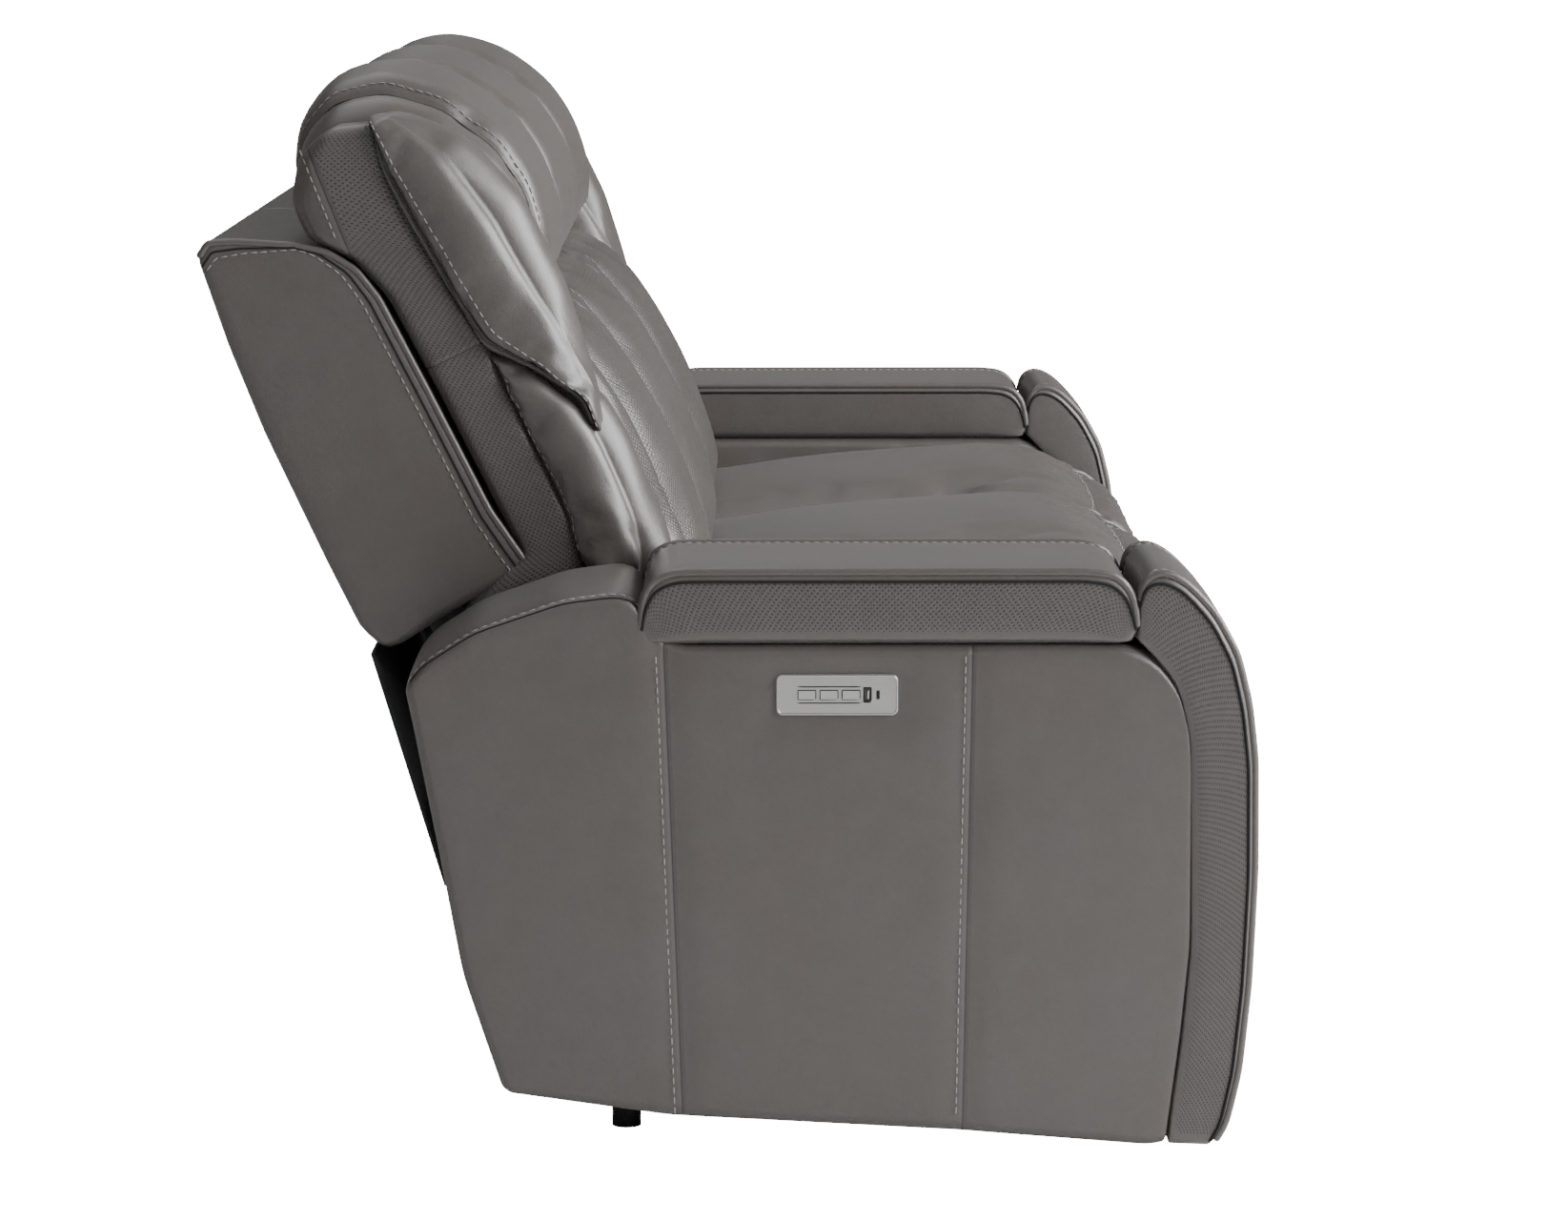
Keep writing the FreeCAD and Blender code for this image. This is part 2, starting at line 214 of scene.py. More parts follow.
def welt(name, radius, path, out, squash=1.0):
    """Piping: a ring of twelve points, swept along the path; out is the direction away from the surface,
    squash flattens the ring along it.  Both ends taper shut."""
    path = np.asarray(path, float)
    out = np.broadcast_to(np.asarray(out, float), path.shape)
    apart = np.r_[True, np.linalg.norm(np.diff(path, axis=0), axis=1) > 5e-5]
    path, out = path[apart], out[apart]
    t = np.gradient(path, axis=0)
    t /= np.maximum(np.linalg.norm(t, axis=1, keepdims=True), 1e-9)
    side = np.cross(t, out)
    side /= np.maximum(np.linalg.norm(side, axis=1, keepdims=True), 1e-9)
    up = np.cross(side, t)
    a = np.linspace(0, 2 * np.pi, 12, endpoint=False)
    taper = np.ones(len(path))
    taper[[0, -1]] = 0.02
    taper[[1, -2]] = 0.75
    r = radius * taper[:, None, None]
    across, away = np.cos(a)[None, :, None], squash * np.sin(a)[None, :, None]
    co = path[:, None] + r * (across * side[:, None] + away * up[:, None])
    m, k = len(path), 12
    i, j = np.meshgrid(np.arange(m - 1), np.arange(k), indexing="ij")
    i, j = i.ravel(), j.ravel()
    ids = np.stack([i * k + j, i * k + (j + 1) % k, (i + 1) * k + (j + 1) % k, (i + 1) * k + j], 1)
    caps = np.array([[0, c + 2, c + 1, c] for c in range(1, k - 1, 2)])
    ids = np.r_[ids, caps, (m - 1) * k + caps[:, ::-1]]
    return mesh_piece(name, co.reshape(-1, 3), ids)


def stitches(name, rows, pitch=0.0102, length=0.0072, thick=0.0005):
    """Rows of thread: each row is (path, outward directions); a stitch is a six-sided bead stretched along the
    path, its ends dipping into the leather, repeated at the pitch."""
    beads = []
    for path, out in rows:
        path = np.asarray(path, float)
        out = np.broadcast_to(np.asarray(out, float), path.shape)
        d = np.r_[0, np.cumsum(np.linalg.norm(np.diff(path, axis=0), axis=1))]
        if d[-1] < pitch:
            continue
        u = np.arange(pitch / 2, d[-1], pitch)
        c, o, ahead, behind = (np.stack([np.interp(v, d, line[:, k]) for k in range(3)], -1) for v, line in (
            (u, path), (u, out), (np.minimum(u + 0.003, d[-1]), path), (np.maximum(u - 0.003, 0), path)))
        t = ahead - behind
        t /= np.linalg.norm(t, axis=1, keepdims=True)
        o -= t * (o * t).sum(1, keepdims=True)
        o /= np.maximum(np.linalg.norm(o, axis=1, keepdims=True), 1e-9)
        side = np.cross(t, o)
        ring = np.linspace(0, 2 * np.pi, 6, endpoint=False)
        step = np.array([-0.5, -0.36, 0.36, 0.5]) * length
        rad = np.array([0.35, 1, 1, 0.35]) * thick
        dip = np.array([-0.9, 0.35, 0.35, -0.9]) * thick
        co = (c[:, None, None] + t[:, None, None] * step[None, :, None, None]
              + o[:, None, None] * (dip[:, None] + rad[:, None] * np.sin(ring))[None, :, :, None]
              + side[:, None, None] * (rad[:, None] * np.cos(ring))[None, :, :, None] * 1.25)
        beads.append(co.reshape(-1, 24, 3))
    beads = np.concatenate(beads)
    one = [[r * 6 + k, (r + 1) * 6 + k, (r + 1) * 6 + (k + 1) % 6, r * 6 + (k + 1) % 6]
           for r in range(3) for k in range(6)]
    one += [[0, 1, 2, 3], [0, 3, 4, 5], [21, 20, 19, 18], [23, 22, 21, 18]]
    ids = (np.array(one)[None] + 24 * np.arange(len(beads))[:, None, None]).reshape(-1, 4)
    return mesh_piece(name, beads.reshape(-1, 3), ids)


def node_group(name, inputs, outputs):
    """An empty shader group with its sockets, and its input and output nodes."""
    g = bpy.data.node_groups.new(name, "ShaderNodeTree")
    for n, kind, v in inputs:
        s = g.interface.new_socket(n, in_out="INPUT", socket_type=kind)
        if v is not None:
            s.default_value = v
    for n, kind in outputs:
        g.interface.new_socket(n, in_out="OUTPUT", socket_type=kind)
    a, b = g.nodes.new("NodeGroupInput"), g.nodes.new("NodeGroupOutput")
    return g, a, b


def link_math(g, op, a, b=None, c=None, clamp=False):
    """One arithmetic node of a shader; numbers stay as its own values, sockets are linked."""
    m = g.nodes.new("ShaderNodeMath")
    m.operation, m.use_clamp = op, clamp
    for k, v in enumerate((a, b, c)):
        if v is None:
            continue
        if isinstance(v, (int, float)):
            m.inputs[k].default_value = v
        else:
            g.links.new(v, m.inputs[k])
    return m.outputs[0]


def noise(g, vector, scale, detail=2.0):
    """Cloudy noise over the given coordinates."""
    n = g.nodes.new("ShaderNodeTexNoise")
    n.inputs["Scale"].default_value, n.inputs["Detail"].default_value = scale, detail
    g.links.new(vector, n.inputs["Vector"])
    return n.outputs["Fac"]


def blend(g, factor, a, b, mode="MIX"):
    """Colour between a and b; numbers stay as the node's own values, sockets are linked."""
    mix = g.nodes.new("ShaderNodeMix")
    mix.data_type, mix.blend_type = "RGBA", mode
    for key, v in (("Factor", factor), ("A", a), ("B", b)):
        if isinstance(v, bpy.types.NodeSocket):
            g.links.new(v, mix.inputs[key])
        else:
            mix.inputs[key].default_value = v if key == "Factor" else (*v, 1)
    return mix.outputs["Result"]


def raised(g, bsdf, height, strength, distance):
    """Feeds a height to the shader's normal through a bump."""
    b = g.nodes.new("ShaderNodeBump")
    b.inputs["Strength"].default_value, b.inputs["Distance"].default_value = strength, distance
    g.links.new(height, b.inputs["Height"])
    g.links.new(b.outputs[0], bsdf.inputs["Normal"])


def new_material(name):
    """A material with its node tree, its shader and the piece's own coordinates."""
    m = bpy.data.materials.new(name)
    m.use_nodes = True
    g = m.node_tree
    return m, g, g.nodes["Principled BSDF"], g.nodes.new("ShaderNodeTexCoord").outputs["Object"]


def pebble_group():
    """Leather grain: fine pebbles from distances between cells, finer pores, broad soft creases; out come a height,
    a colour tone and the broad patches of a warmer dye."""
    g, i, o = node_group("hide_grain", [("Vector", "NodeSocketVector", None), ("Grain size", "NodeSocketFloat", 700.0)],
                         [("Height", "NodeSocketFloat"), ("Tone", "NodeSocketFloat"), ("Patch", "NodeSocketFloat")])
    v = g.nodes.new("ShaderNodeTexVoronoi")
    v.feature = "DISTANCE_TO_EDGE"
    g.links.new(i.outputs[0], v.inputs["Vector"])
    g.links.new(i.outputs[1], v.inputs["Scale"])
    cell = link_math(g, "POWER", link_math(g, "MULTIPLY", v.outputs["Distance"], 2.2, clamp=True), 0.5)
    cloud = noise(g, i.outputs[0], 26.0, 4.0)
    pores = noise(g, i.outputs[0], 260.0, 2.0)
    h = link_math(g, "ADD", link_math(g, "MULTIPLY", cell, 0.55), link_math(g, "MULTIPLY", pores, 0.5))
    g.links.new(link_math(g, "ADD", h, link_math(g, "MULTIPLY", cloud, 1.1)), o.inputs[0])
    tone = link_math(g, "ADD", link_math(g, "MULTIPLY", cloud, 0.5), link_math(g, "MULTIPLY", cell, 0.5))
    g.links.new(tone, o.inputs[1])
    g.links.new(noise(g, i.outputs[0], 5.5, 3.0), o.inputs[2])
    return g


def vent_group():
    """Ventilation holes: two square grids of dots, the second moved half a step both ways, inside the vented area."""
    g, i, o = node_group("vent_holes", [("Vector", "NodeSocketVector", None), ("Area", "NodeSocketFloat", 0.0),
                                        ("Pitch", "NodeSocketFloat", 0.0059), ("Radius", "NodeSocketFloat", 0.00085)],
                         [("Hole", "NodeSocketFloat"), ("Rim", "NodeSocketFloat")])
    x = g.nodes.new("ShaderNodeSeparateXYZ")
    g.links.new(i.outputs["Vector"], x.inputs[0])
    dist = []
    for shift in (0.0, 0.5):
        parts = []
        for k in (0, 1):
            u = link_math(g, "ADD", link_math(g, "DIVIDE", x.outputs[k], i.outputs["Pitch"]), shift)
            u = link_math(g, "SUBTRACT", link_math(g, "FRACT", u), 0.5)
            parts.append(link_math(g, "MULTIPLY", u, u))
        dist.append(link_math(g, "SQRT", link_math(g, "ADD", *parts)))
    d = link_math(g, "MULTIPLY", link_math(g, "MINIMUM", *dist), i.outputs["Pitch"])
    r = link_math(g, "DIVIDE", d, i.outputs["Radius"])
    hole = link_math(g, "SUBTRACT", 1.25, r, clamp=True)
    hole = link_math(g, "MULTIPLY", hole, 3.0, clamp=True)
    inside = link_math(g, "GREATER_THAN", i.outputs["Area"], 0.0)
    g.links.new(link_math(g, "MULTIPLY", hole, inside), o.inputs[0])
    rim = link_math(g, "SUBTRACT", 2.1, r, clamp=True)
    g.links.new(link_math(g, "MULTIPLY", rim, inside), o.inputs[1])
    return g


def seam_group():
    """Plain seam: the nearest of three signed distances gives a thin line of painted shade in a narrow valley."""
    g, i, o = node_group("plain_seam", [("Distances", "NodeSocketVector", None)],
                         [("Dark", "NodeSocketFloat"), ("Valley", "NodeSocketFloat")])
    x = g.nodes.new("ShaderNodeSeparateXYZ")
    g.links.new(i.outputs[0], x.inputs[0])
    a = [link_math(g, "ABSOLUTE", x.outputs[k]) for k in range(3)]
    d = link_math(g, "MINIMUM", link_math(g, "MINIMUM", a[0], a[1]), a[2])
    g.links.new(link_math(g, "SUBTRACT", 1.0, link_math(g, "DIVIDE", d, 0.0011), clamp=True), o.inputs[0])
    g.links.new(link_math(g, "SUBTRACT", 1.0, link_math(g, "DIVIDE", d, 0.004), clamp=True), o.inputs[1])
    return g


HIDE, VENTS, SEAM = pebble_group(), vent_group(), seam_group()


def leather(name, colour, rough=0.33, warm=(0.104, 0.076, 0.063), mottle=0.5, grain=0.35, vented=True):
    """Semi-gloss corrected leather: grey with faint warm mottling, pebble grain in the bump, seams and vents sunk in
    the bump and painted near-black as the shade in their slits and holes.
    """
    m, g, bsdf, own = new_material(name)
    hide = g.nodes.new("ShaderNodeGroup")
    hide.node_tree = HIDE
    hide.inputs["Grain size"].default_value = 620.0
    g.links.new(own, hide.inputs["Vector"])
    patch = link_math(g, "MULTIPLY", link_math(g, "SUBTRACT", hide.outputs["Patch"], 0.42, clamp=True), 2.6 * mottle)
    shade = link_math(g, "ADD", link_math(g, "MULTIPLY", hide.outputs["Tone"], 0.36), 0.80)
    dye, height = blend(g, 1.0, blend(g, patch, colour, warm), shade, "MULTIPLY"), hide.outputs["Height"]
    if vented:
        seam, vent = g.nodes.new("ShaderNodeGroup"), g.nodes.new("ShaderNodeGroup")
        seam.node_tree, vent.node_tree = SEAM, VENTS
        seams, area = g.nodes.new("ShaderNodeAttribute"), g.nodes.new("ShaderNodeAttribute")
        seams.attribute_name, area.attribute_name = "seams", "vents"
        uv = g.nodes.new("ShaderNodeUVMap")
        uv.uv_map = "panel"
        g.links.new(seams.outputs["Vector"], seam.inputs[0])
        g.links.new(uv.outputs[0], vent.inputs["Vector"])
        g.links.new(area.outputs["Fac"], vent.inputs["Area"])
        # Painted shade: the seam slits and the vent holes are blended to near-black in the colour.
        dark = link_math(g, "MAXIMUM", seam.outputs["Dark"], vent.outputs["Hole"])
        dye = blend(g, link_math(g, "MULTIPLY", dark, 0.93), dye, (0.006, 0.006, 0.007))
        drop = link_math(g, "ADD", link_math(g, "MULTIPLY", vent.outputs["Rim"], 1.6),
                         link_math(g, "MULTIPLY", seam.outputs["Valley"], 5.0))
        height = link_math(g, "SUBTRACT", height, drop)
    raised(g, bsdf, height, grain, 0.0006)
    g.links.new(dye, bsdf.inputs["Base Color"])
    r = link_math(g, "ADD", link_math(g, "MULTIPLY", hide.outputs["Tone"], 0.16), rough - 0.08)
    g.links.new(r, bsdf.inputs["Roughness"])
    bsdf.inputs["Specular IOR Level"].default_value = 0.75
    bsdf.inputs["Sheen Weight"].default_value = 0.06
    bsdf.inputs["Sheen Roughness"].default_value = 0.45
    return m


LEATHER_GREY = (0.092, 0.0835, 0.0765)
GREY_HIDE = leather("grey_leather", LEATHER_GREY)


def flecked(name, scale, a, b, rough):
    """Dull material whose colour wanders between a and b in small flecks."""
    m, g, bsdf, own = new_material(name)
    g.links.new(blend(g, noise(g, own, scale), a, b), bsdf.inputs["Base Color"])
    bsdf.inputs["Roughness"].default_value = rough
    return m


# Light grey bonded thread, and painted shadow: near-black tubes laid where shade falls, in the dark gap where piping
# meets a panel (leather in its own shadow), in seams and creases, and in the gaps and grooves of the control plates.
THREAD = flecked("contrast_thread", 900.0, (0.25, 0.236, 0.22), (0.41, 0.388, 0.36), 0.6)
CREASE_SHADOW = flecked("crease_shadow", 300.0, (0.004, 0.004, 0.004), (0.012, 0.011, 0.011), 0.9)


def finish_piece(obj, material, body, replaces=()):
    """Material, body and, where it replaces CAD parts, the hiding of those parts, for a finished piece."""
    obj.data.materials.append(material)
    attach(obj, body)
    if replaces:
        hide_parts(*replaces)
    return obj


def directions(place, s, t, w):
    """Outward direction of the cover at box points, from the difference between it and a slightly fuller one."""
    n = place(s, t, w, 0.002) - place(s, t, w)
    return n / np.maximum(np.linalg.norm(n, axis=-1, keepdims=True), 1e-9)


def laid(place, s, t, w, lift, follow=None):
    """Path on a cover through box points, raised by the lift, and its outward directions."""
    s, t, w = np.broadcast_arrays(*(np.asarray(v, float) for v in (s, t, w)))
    n, points = directions(place, s, t, w), place(s, t, w)
    return (follow(points) if follow else points) + n * lift, n


def swollen(obj, pins, grow, cap, span=None, pressure=4.0, frames=20):
    """Cloth under pressure: the cover is cut a little larger than its form, held at the pinned seam points and
    swelled for a few frames; each point's move is capped, and span holds it between its neighbours in X.  Returns
    the same move for points laid on the cover."""
    me = obj.data
    rest = np.empty(3 * len(me.vertices))
    me.vertices.foreach_get("co", rest)
    rest = rest.reshape(-1, 3)
    low, high = span or (-9.0, 9.0)
    group = obj.vertex_groups.new(name="seam_pins")
    group.add([int(k) for k in np.flatnonzero(pins)], 1.0, "REPLACE")
    cloth = obj.modifiers.new("stuffing", "CLOTH")
    c = cloth.settings
    c.use_pressure, c.uniform_pressure_force, c.vertex_group_mass = True, pressure, group.name
    c.shrink_min, c.quality, c.mass = -grow, 4, 0.6
    c.tension_stiffness, c.compression_stiffness, c.shear_stiffness, c.bending_stiffness = 25, 25, 8, 1.2
    c.effector_weights.gravity = 0
    cloth.point_cache.frame_start, cloth.point_cache.frame_end = 1, frames
    for f in range(1, frames + 1):
        bpy.context.scene.frame_set(f)
    done = obj.evaluated_get(bpy.context.evaluated_depsgraph_get()).data
    co = np.empty(3 * len(done.vertices))
    done.vertices.foreach_get("co", co)
    move = co.reshape(-1, 3) - rest
    length = np.linalg.norm(move, axis=1, keepdims=True)
    move *= np.minimum(1, cap / np.maximum(length, 1e-9))
    obj.modifiers.remove(cloth)
    obj.vertex_groups.remove(group)
    bpy.context.scene.frame_set(1)
    me.vertices.foreach_set("co", np.clip(rest + move, (low, -9, -9), (high, 9, 9)).ravel())
    me.update()

    def follow(points):
        d = ((points[:, None] - rest[None]) ** 2).sum(-1)
        k = np.argpartition(d, 4, axis=1)[:, :4]
        near = 1 / (np.take_along_axis(d, k, 1) + 1e-7)
        return points + (move[k] * (near / near.sum(1, keepdims=True))[..., None]).sum(1)
    return follow


def bell(d, width):
    """Smooth bump of height one, falling off over the width."""
    return np.exp(-(d / width) ** 2)


def line_gap(co, a, b):
    """Signed distance in the side view from the line through a and b, given in mm."""
    a, b = np.array(a) / 1000, np.array(b) / 1000
    u = (b - a) / np.hypot(*(b - a))
    return (co[..., 1] - a[0]) * u[1] - (co[..., 2] - a[1]) * u[0]


def laid_on(place, w, marks):
    """Points and outward directions of a side panel nearest to marks (y, z) in mm of the side view."""
    s, t = np.meshgrid(np.linspace(0, 1, 300), np.linspace(0, 1, 80), indexing="ij")
    co = place(s, t, w).reshape(-1, 3)
    line = tailors_line(marks, 0.01, 60)
    k = np.argmin(((co[None, :, 1:] - line[:, None]) ** 2).sum(-1), 1)
    sk, tk = s.ravel()[k], t.ravel()[k]
    n = directions(place, sk, tk, w)
    return np.c_[co[k, 0], line], n


def dome(v):
    """Rises from zero at both ends of a panel to one over its middle."""
    return np.clip(1 - (2 * v - 1) ** 4, 0, 1)


ARM_TOP = tailors_line([(313, 483), (296, 506), (243, 540), (155, 570), (100, 577), (82, 572), (72, 545), (40, 524),
                        (-410, 524), (-440, 508), (-461, 480), (-470, 440)], 0.010)
ARM_FOOT = tailors_line([(217, 69), (49, 45), (-238, 29), (-437, 13), (-452, 17)], 0.012)
ARM_REAR = tailors_line([(313, 483), (307, 456), (280, 316), (257, 189), (217, 69)], 0.03)
ARM_NOSE = tailors_line([(-470, 440), (-474, 400), (-475, 217), (-466, 125), (-452, 17)], 0.03)
ARM_SIDE = side_shape(ARM_TOP, ARM_FOOT, ARM_REAR, ARM_NOSE)
REAR_SEAM, FRONT_SEAM = (0.054, 0.036), (-0.254, -0.246)
PLATE_AT, PLATE_HALF = (-0.119, 0.475), (0.060, 0.021)
SIDES = (("right", -1), ("left", 1))


def beside_seam(y, z, seam, gap=0.0):
    """Distance of (y, z) to the front of an upright seam given by its y at the top and at the foot."""
    y_top, y_low = seam
    return y - gap - (y_top + (y_low - y_top) * (0.52 - z) / 0.475)


def arm_relief(s, t, w, d):
    """Faint swell between the seams, valleys at them, and a dip round the plate that pulls the leather in."""
    y, z = np.moveaxis(ARM_SIDE(s, t), -1, 0)
    rear, front = beside_seam(y, z, REAR_SEAM), beside_seam(y, z, FRONT_SEAM)
    off = [np.maximum(np.abs(v - at) - half, 0) for v, at, half in zip((y, z), PLATE_AT, PLATE_HALF)]
    swell = 0.0028 * dome(np.clip(s, 0, 1)) * dome(t) - 0.0016 * bell(np.hypot(*off), 0.016)
    ripple = 0.0006 * np.sin(31 * z + 4 * y) * bell(np.minimum(np.abs(rear), np.abs(front)), 0.04)
    valley = 0.0022 * (bell(rear, 0.014) + bell(front, 0.014))
    return np.abs(d[..., 2]) * (swell + ripple - valley) + 0.003 * np.abs(d[..., 1]) * dome(w)


for side, sg in SIDES:
    x0, x1 = sorted((sg * 0.8562, sg * 1.0995))
    outer = 0.0 if sg < 0 else 1.0
    arm = stuffed(ARM_SIDE, x0, x1, [(0.012, 0.005), (0.012, 0.012), (0.012, 0.012)], arm_relief)
    cover = sewn_cover("arm_cover_" + side, arm, 0.010, seams=lambda s, t, w, co: [
        np.where(np.abs(co[:, 0]) > 1.09, beside_seam(co[:, 1], co[:, 2], seam), 1.0)
        for seam in (REAR_SEAM, FRONT_SEAM)])
    finish_piece(cover, GREY_HIDE, "base", replaces=["arm_body_" + side])
    z = np.linspace(0.515, 0.05, 60)
    rows = [(np.stack([np.full_like(z, sg * 1.1008), -beside_seam(0 * z, z, seam, gap), z], -1), (sg, 0, 0))
            for seam, gap in ((REAR_SEAM, 0.008), (FRONT_SEAM, 0.007))]
    inset = 0.0065 / arm.size[2]
    rows.append(laid(arm, np.linspace(0.004, 0.33, 80), 0, abs(outer - inset), 0))
    finish_piece(stitches("arm_stitching_" + side, rows), THREAD, "base")
    # Painted shade: a near-black tube in the slit of the top seam behind the pad.
    finish_piece(welt("arm_top_seam_shadow_" + side, 0.0012, *laid(arm, np.linspace(0.004, 0.33, 80), 0, outer, -0.0005)),
                 CREASE_SHADOW, "base")

# ---------------------------------------------------------------- Arm pads
# A long foam pad on top of each arm: plain leather crown, thick piping round the edge of its outer side,
# perforated leather band inside the piping, and a row of stitches on the crown side of the piping.
PAD_TOP = tailors_line([(77, 536), (77.5, 562), (71, 588), (50, 600), (20, 600.5), (-370, 600.5), (-398, 597),
                        (-413, 580), (-417.5, 556), (-418, 536)], 0.016)
PAD_FOOT = tailors_line([(72, 528), (60, 525.5), (-400, 525.5), (-413, 528)], 0.01)
PAD_SIDE = side_shape(PAD_TOP, PAD_FOOT)


def outer_band(place, outer, margin=0.013):
    """Signed distance from the border of the outer side panel, positive inside it; negative on all other sides."""
    def vents(s, t, w, co):
        ls, lt = place.size[:2]
        d = np.minimum(np.minimum(s, 1 - s) * ls, np.minimum(t, 1 - t) * lt) - margin
        return np.where(np.abs(w - outer) < 1e-6, d, -0.05)
    return vents


def piped_border(name, place, s, outer, proud=0.0012, radius=0.0046, row=0.0105, crease_in=0.0070):
    """Piping on the edge between a panel and the crown, a near-black tube of painted shade in the crease inside it
    and the stitches outside it, all laid on the box edge of a stuffed form."""
    _, lt, lw = place.size
    e = place.edge
    finish_piece(welt(name + "_piping", radius, *laid(place, s, 0, outer, proud)), GREY_HIDE_PLAIN, "base")
    # Painted shade: a near-black tube in the crease just inside the piping.
    tc = (e[1, 0] * 0.55 + crease_in) / lt
    finish_piece(welt(name + "_crease", 0.0016, *laid(place, s, tc, outer, 0.0004)), CREASE_SHADOW, "base")
    wr = abs(outer - (e[2, int(outer)] * 0.55 + row) / lw)
    finish_piece(stitches(name + "_stitching", [laid(place, s, 0, wr, 0.0003)]), THREAD, "base")


GREY_HIDE_PLAIN = leather("grey_leather_plain", LEATHER_GREY, vented=False)
ARM_INNER, ARM_OUTER = 0.8572, 1.0992
for side, sg in SIDES:
    x0, x1 = sorted((sg * ARM_INNER, sg * ARM_OUTER))
    pad = stuffed(PAD_SIDE, x0, x1, 0.009, lambda s, t, w, d: np.abs(d[..., 2]) * 0.0022 * dome(s) * dome(t)
                  + np.clip(-d[..., 1], 0, 1) * (0.0030 * dome(w) - 0.0030))
    outer = 0.0 if sg < 0 else 1.0
    cover = sewn_cover("arm_pad_cover_" + side, pad, 0.010, vents=outer_band(pad, outer))
    finish_piece(cover, GREY_HIDE, "base", replaces=["arm_pad_" + side])
    for edge, at in (("outer", outer), ("inner", 1 - outer)):
        piped_border("arm_pad_%s_%s" % (edge, side), pad, np.linspace(0.006, 0.994, 260), at)

# ---------------------------------------------------------------- Front rolls of the arms
# The padded nose of each arm: one plain leather strip over the top and down the front, perforated side panels,
# piping between the two, and a deep crease where it meets the arm and the pad.
ROLL_FRONT = tailors_line([(-421, 562), (-422, 586), (-430, 599), (-446, 602), (-466, 592), (-496, 562), (-520, 520),
                           (-533, 470), (-540, 412), (-541, 300), (-536, 180), (-527, 90), (-514, 34),
                           (-499, 12)], 0.014)
ROLL_REAR = tailors_line([(-415, 532), (-434, 513), (-458, 482), (-470, 432), (-473, 217), (-465, 125), (-454, 40),
                          (-453, 14)], 0.02)
ROLL_SIDE = side_shape(ROLL_FRONT, ROLL_REAR)
for side, sg in SIDES:
    x0, x1 = sorted((sg * ARM_INNER, sg * ARM_OUTER))
    roll = stuffed(ROLL_SIDE, x0, x1, [(0.011, 0.011), (0.012, 0.005), (0.011, 0.011)],
                   lambda s, t, w, d: np.abs(d[..., 2]) * 0.0030 * dome(s) * dome(t)
                   + np.clip(-d[..., 1], 0, 1) * (0.0055 * dome(w) - 0.0045))
    outer = 0.0 if sg < 0 else 1.0
    cover = sewn_cover("arm_roll_cover_" + side, roll, 0.010, vents=outer_band(roll, outer))
    finish_piece(cover, GREY_HIDE, "base", replaces=["arm_front_" + side])
    for edge, at in (("outer", outer), ("inner", 1 - outer)):
        piped_border("arm_roll_%s_%s" % (edge, side), roll, np.linspace(0.004, 0.996, 300), at)

# ---------------------------------------------------------------- Seat cushions
# Three deep foam cushions, crowned, with a seam across the front lip and piped side edges at the front; the top
# leather is cut from one piece and shows soft drag creases.
SEAT_TOP = tailors_line([(76, 452), (66, 468), (40, 476), (-20, 483), (-130, 498), (-250, 515), (-350, 525),
                         (-430, 521), (-490, 500), (-520, 472), (-533, 445), (-533, 424)], 0.02)
SEAT_FOOT = tailors_line([(72, 412), (60, 402), (-200, 401), (-480, 403), (-515, 408)], 0.015)
SEAT_SIDE = side_shape(SEAT_TOP, SEAT_FOOT)
LIP, TUCK = 0.865, (0.575, 0.84)  # the front seam, and the tucks as (length, distance from the middle)
PITCH = 0.57                      # from seat to seat
COVER_HALF, ROOM_HALF = 0.2826, 0.2845  # half a cover's width as cut, and the room it may swell into
BACKS = (("right", -PITCH, "back_right"), ("middle", 0.0, "base"), ("left", PITCH, "back_left"))


def seat_relief(s, t, w, d):
    """Crown that sinks toward the back, soft drag lines, the pulled front seam and a tuck with an ear at each side."""
    top = np.clip(-d[..., 1], 0, 1)
    u = np.abs(2 * w - 1)
    crown = 0.042 * (1 - u ** 2.4) * np.clip(1.25 - s, 0.40, 1) - 0.022
    drag = 0.0020 * np.sin(7 * w + 13 * s + 2.0 * np.sin(5 * w)) * np.sin(np.pi * np.clip(s, 0, 1)) ** 2
    pull = -0.006 * bell(s - LIP, 0.014) + 0.003 * bell(s - LIP - 0.05, 0.03)
    ear = bell(s - 0.70, 0.10) * bell(u - 0.80, 0.10)
    tuck = -0.016 * bell(s - TUCK[0], 0.022) * bell(u - TUCK[1], 0.09)
    return top * (crown + drag + pull + 0.007 * ear + tuck) + np.abs(d[..., 2]) * 0.001


for name, c, _ in BACKS:
    seat = stuffed(SEAT_SIDE, c - COVER_HALF, c + COVER_HALF, 0.020, seat_relief)
    cover = sewn_cover("seat_cover_" + name, seat, 0.012, marks=((LIP,), (), ()),
                       seams=lambda s, t, w, co: ((s - LIP) * seat.size[0],))
    s, t, w = GRIDS[cover.name]
    u = np.abs(2 * w - 1)
    pins = (t > 0.5) | (np.abs(s - LIP) * seat.size[0] < 0.002) | (u > 0.985) | (
        (np.abs(s - TUCK[0]) < 0.012) & (np.abs(u - TUCK[1]) < 0.04))
    follow = swollen(cover, pins, 0.018, 0.012, (c - ROOM_HALF, c + ROOM_HALF))
    finish_piece(cover, GREY_HIDE, "base", replaces=["seat_cushion_" + name])
    rows = [laid(seat, LIP - 0.007 / seat.size[0], 0, np.linspace(0.05, 0.95, 90), 0.0004, follow)]
    for end in (0, 1):
        row = abs(end - 0.026 / seat.size[2])
        rows.append(laid(seat, np.linspace(0.62, 0.99, 120), 0, row, 0.0004, follow))
        edge = laid(seat, np.linspace(0.03, 0.985, 220), 0, end, 0.0005)
        finish_piece(welt("seat_piping_%s_%d" % (name, end), 0.0042, *edge), GREY_HIDE_PLAIN, "base")
    finish_piece(stitches("seat_stitching_" + name, rows), THREAD, "base")

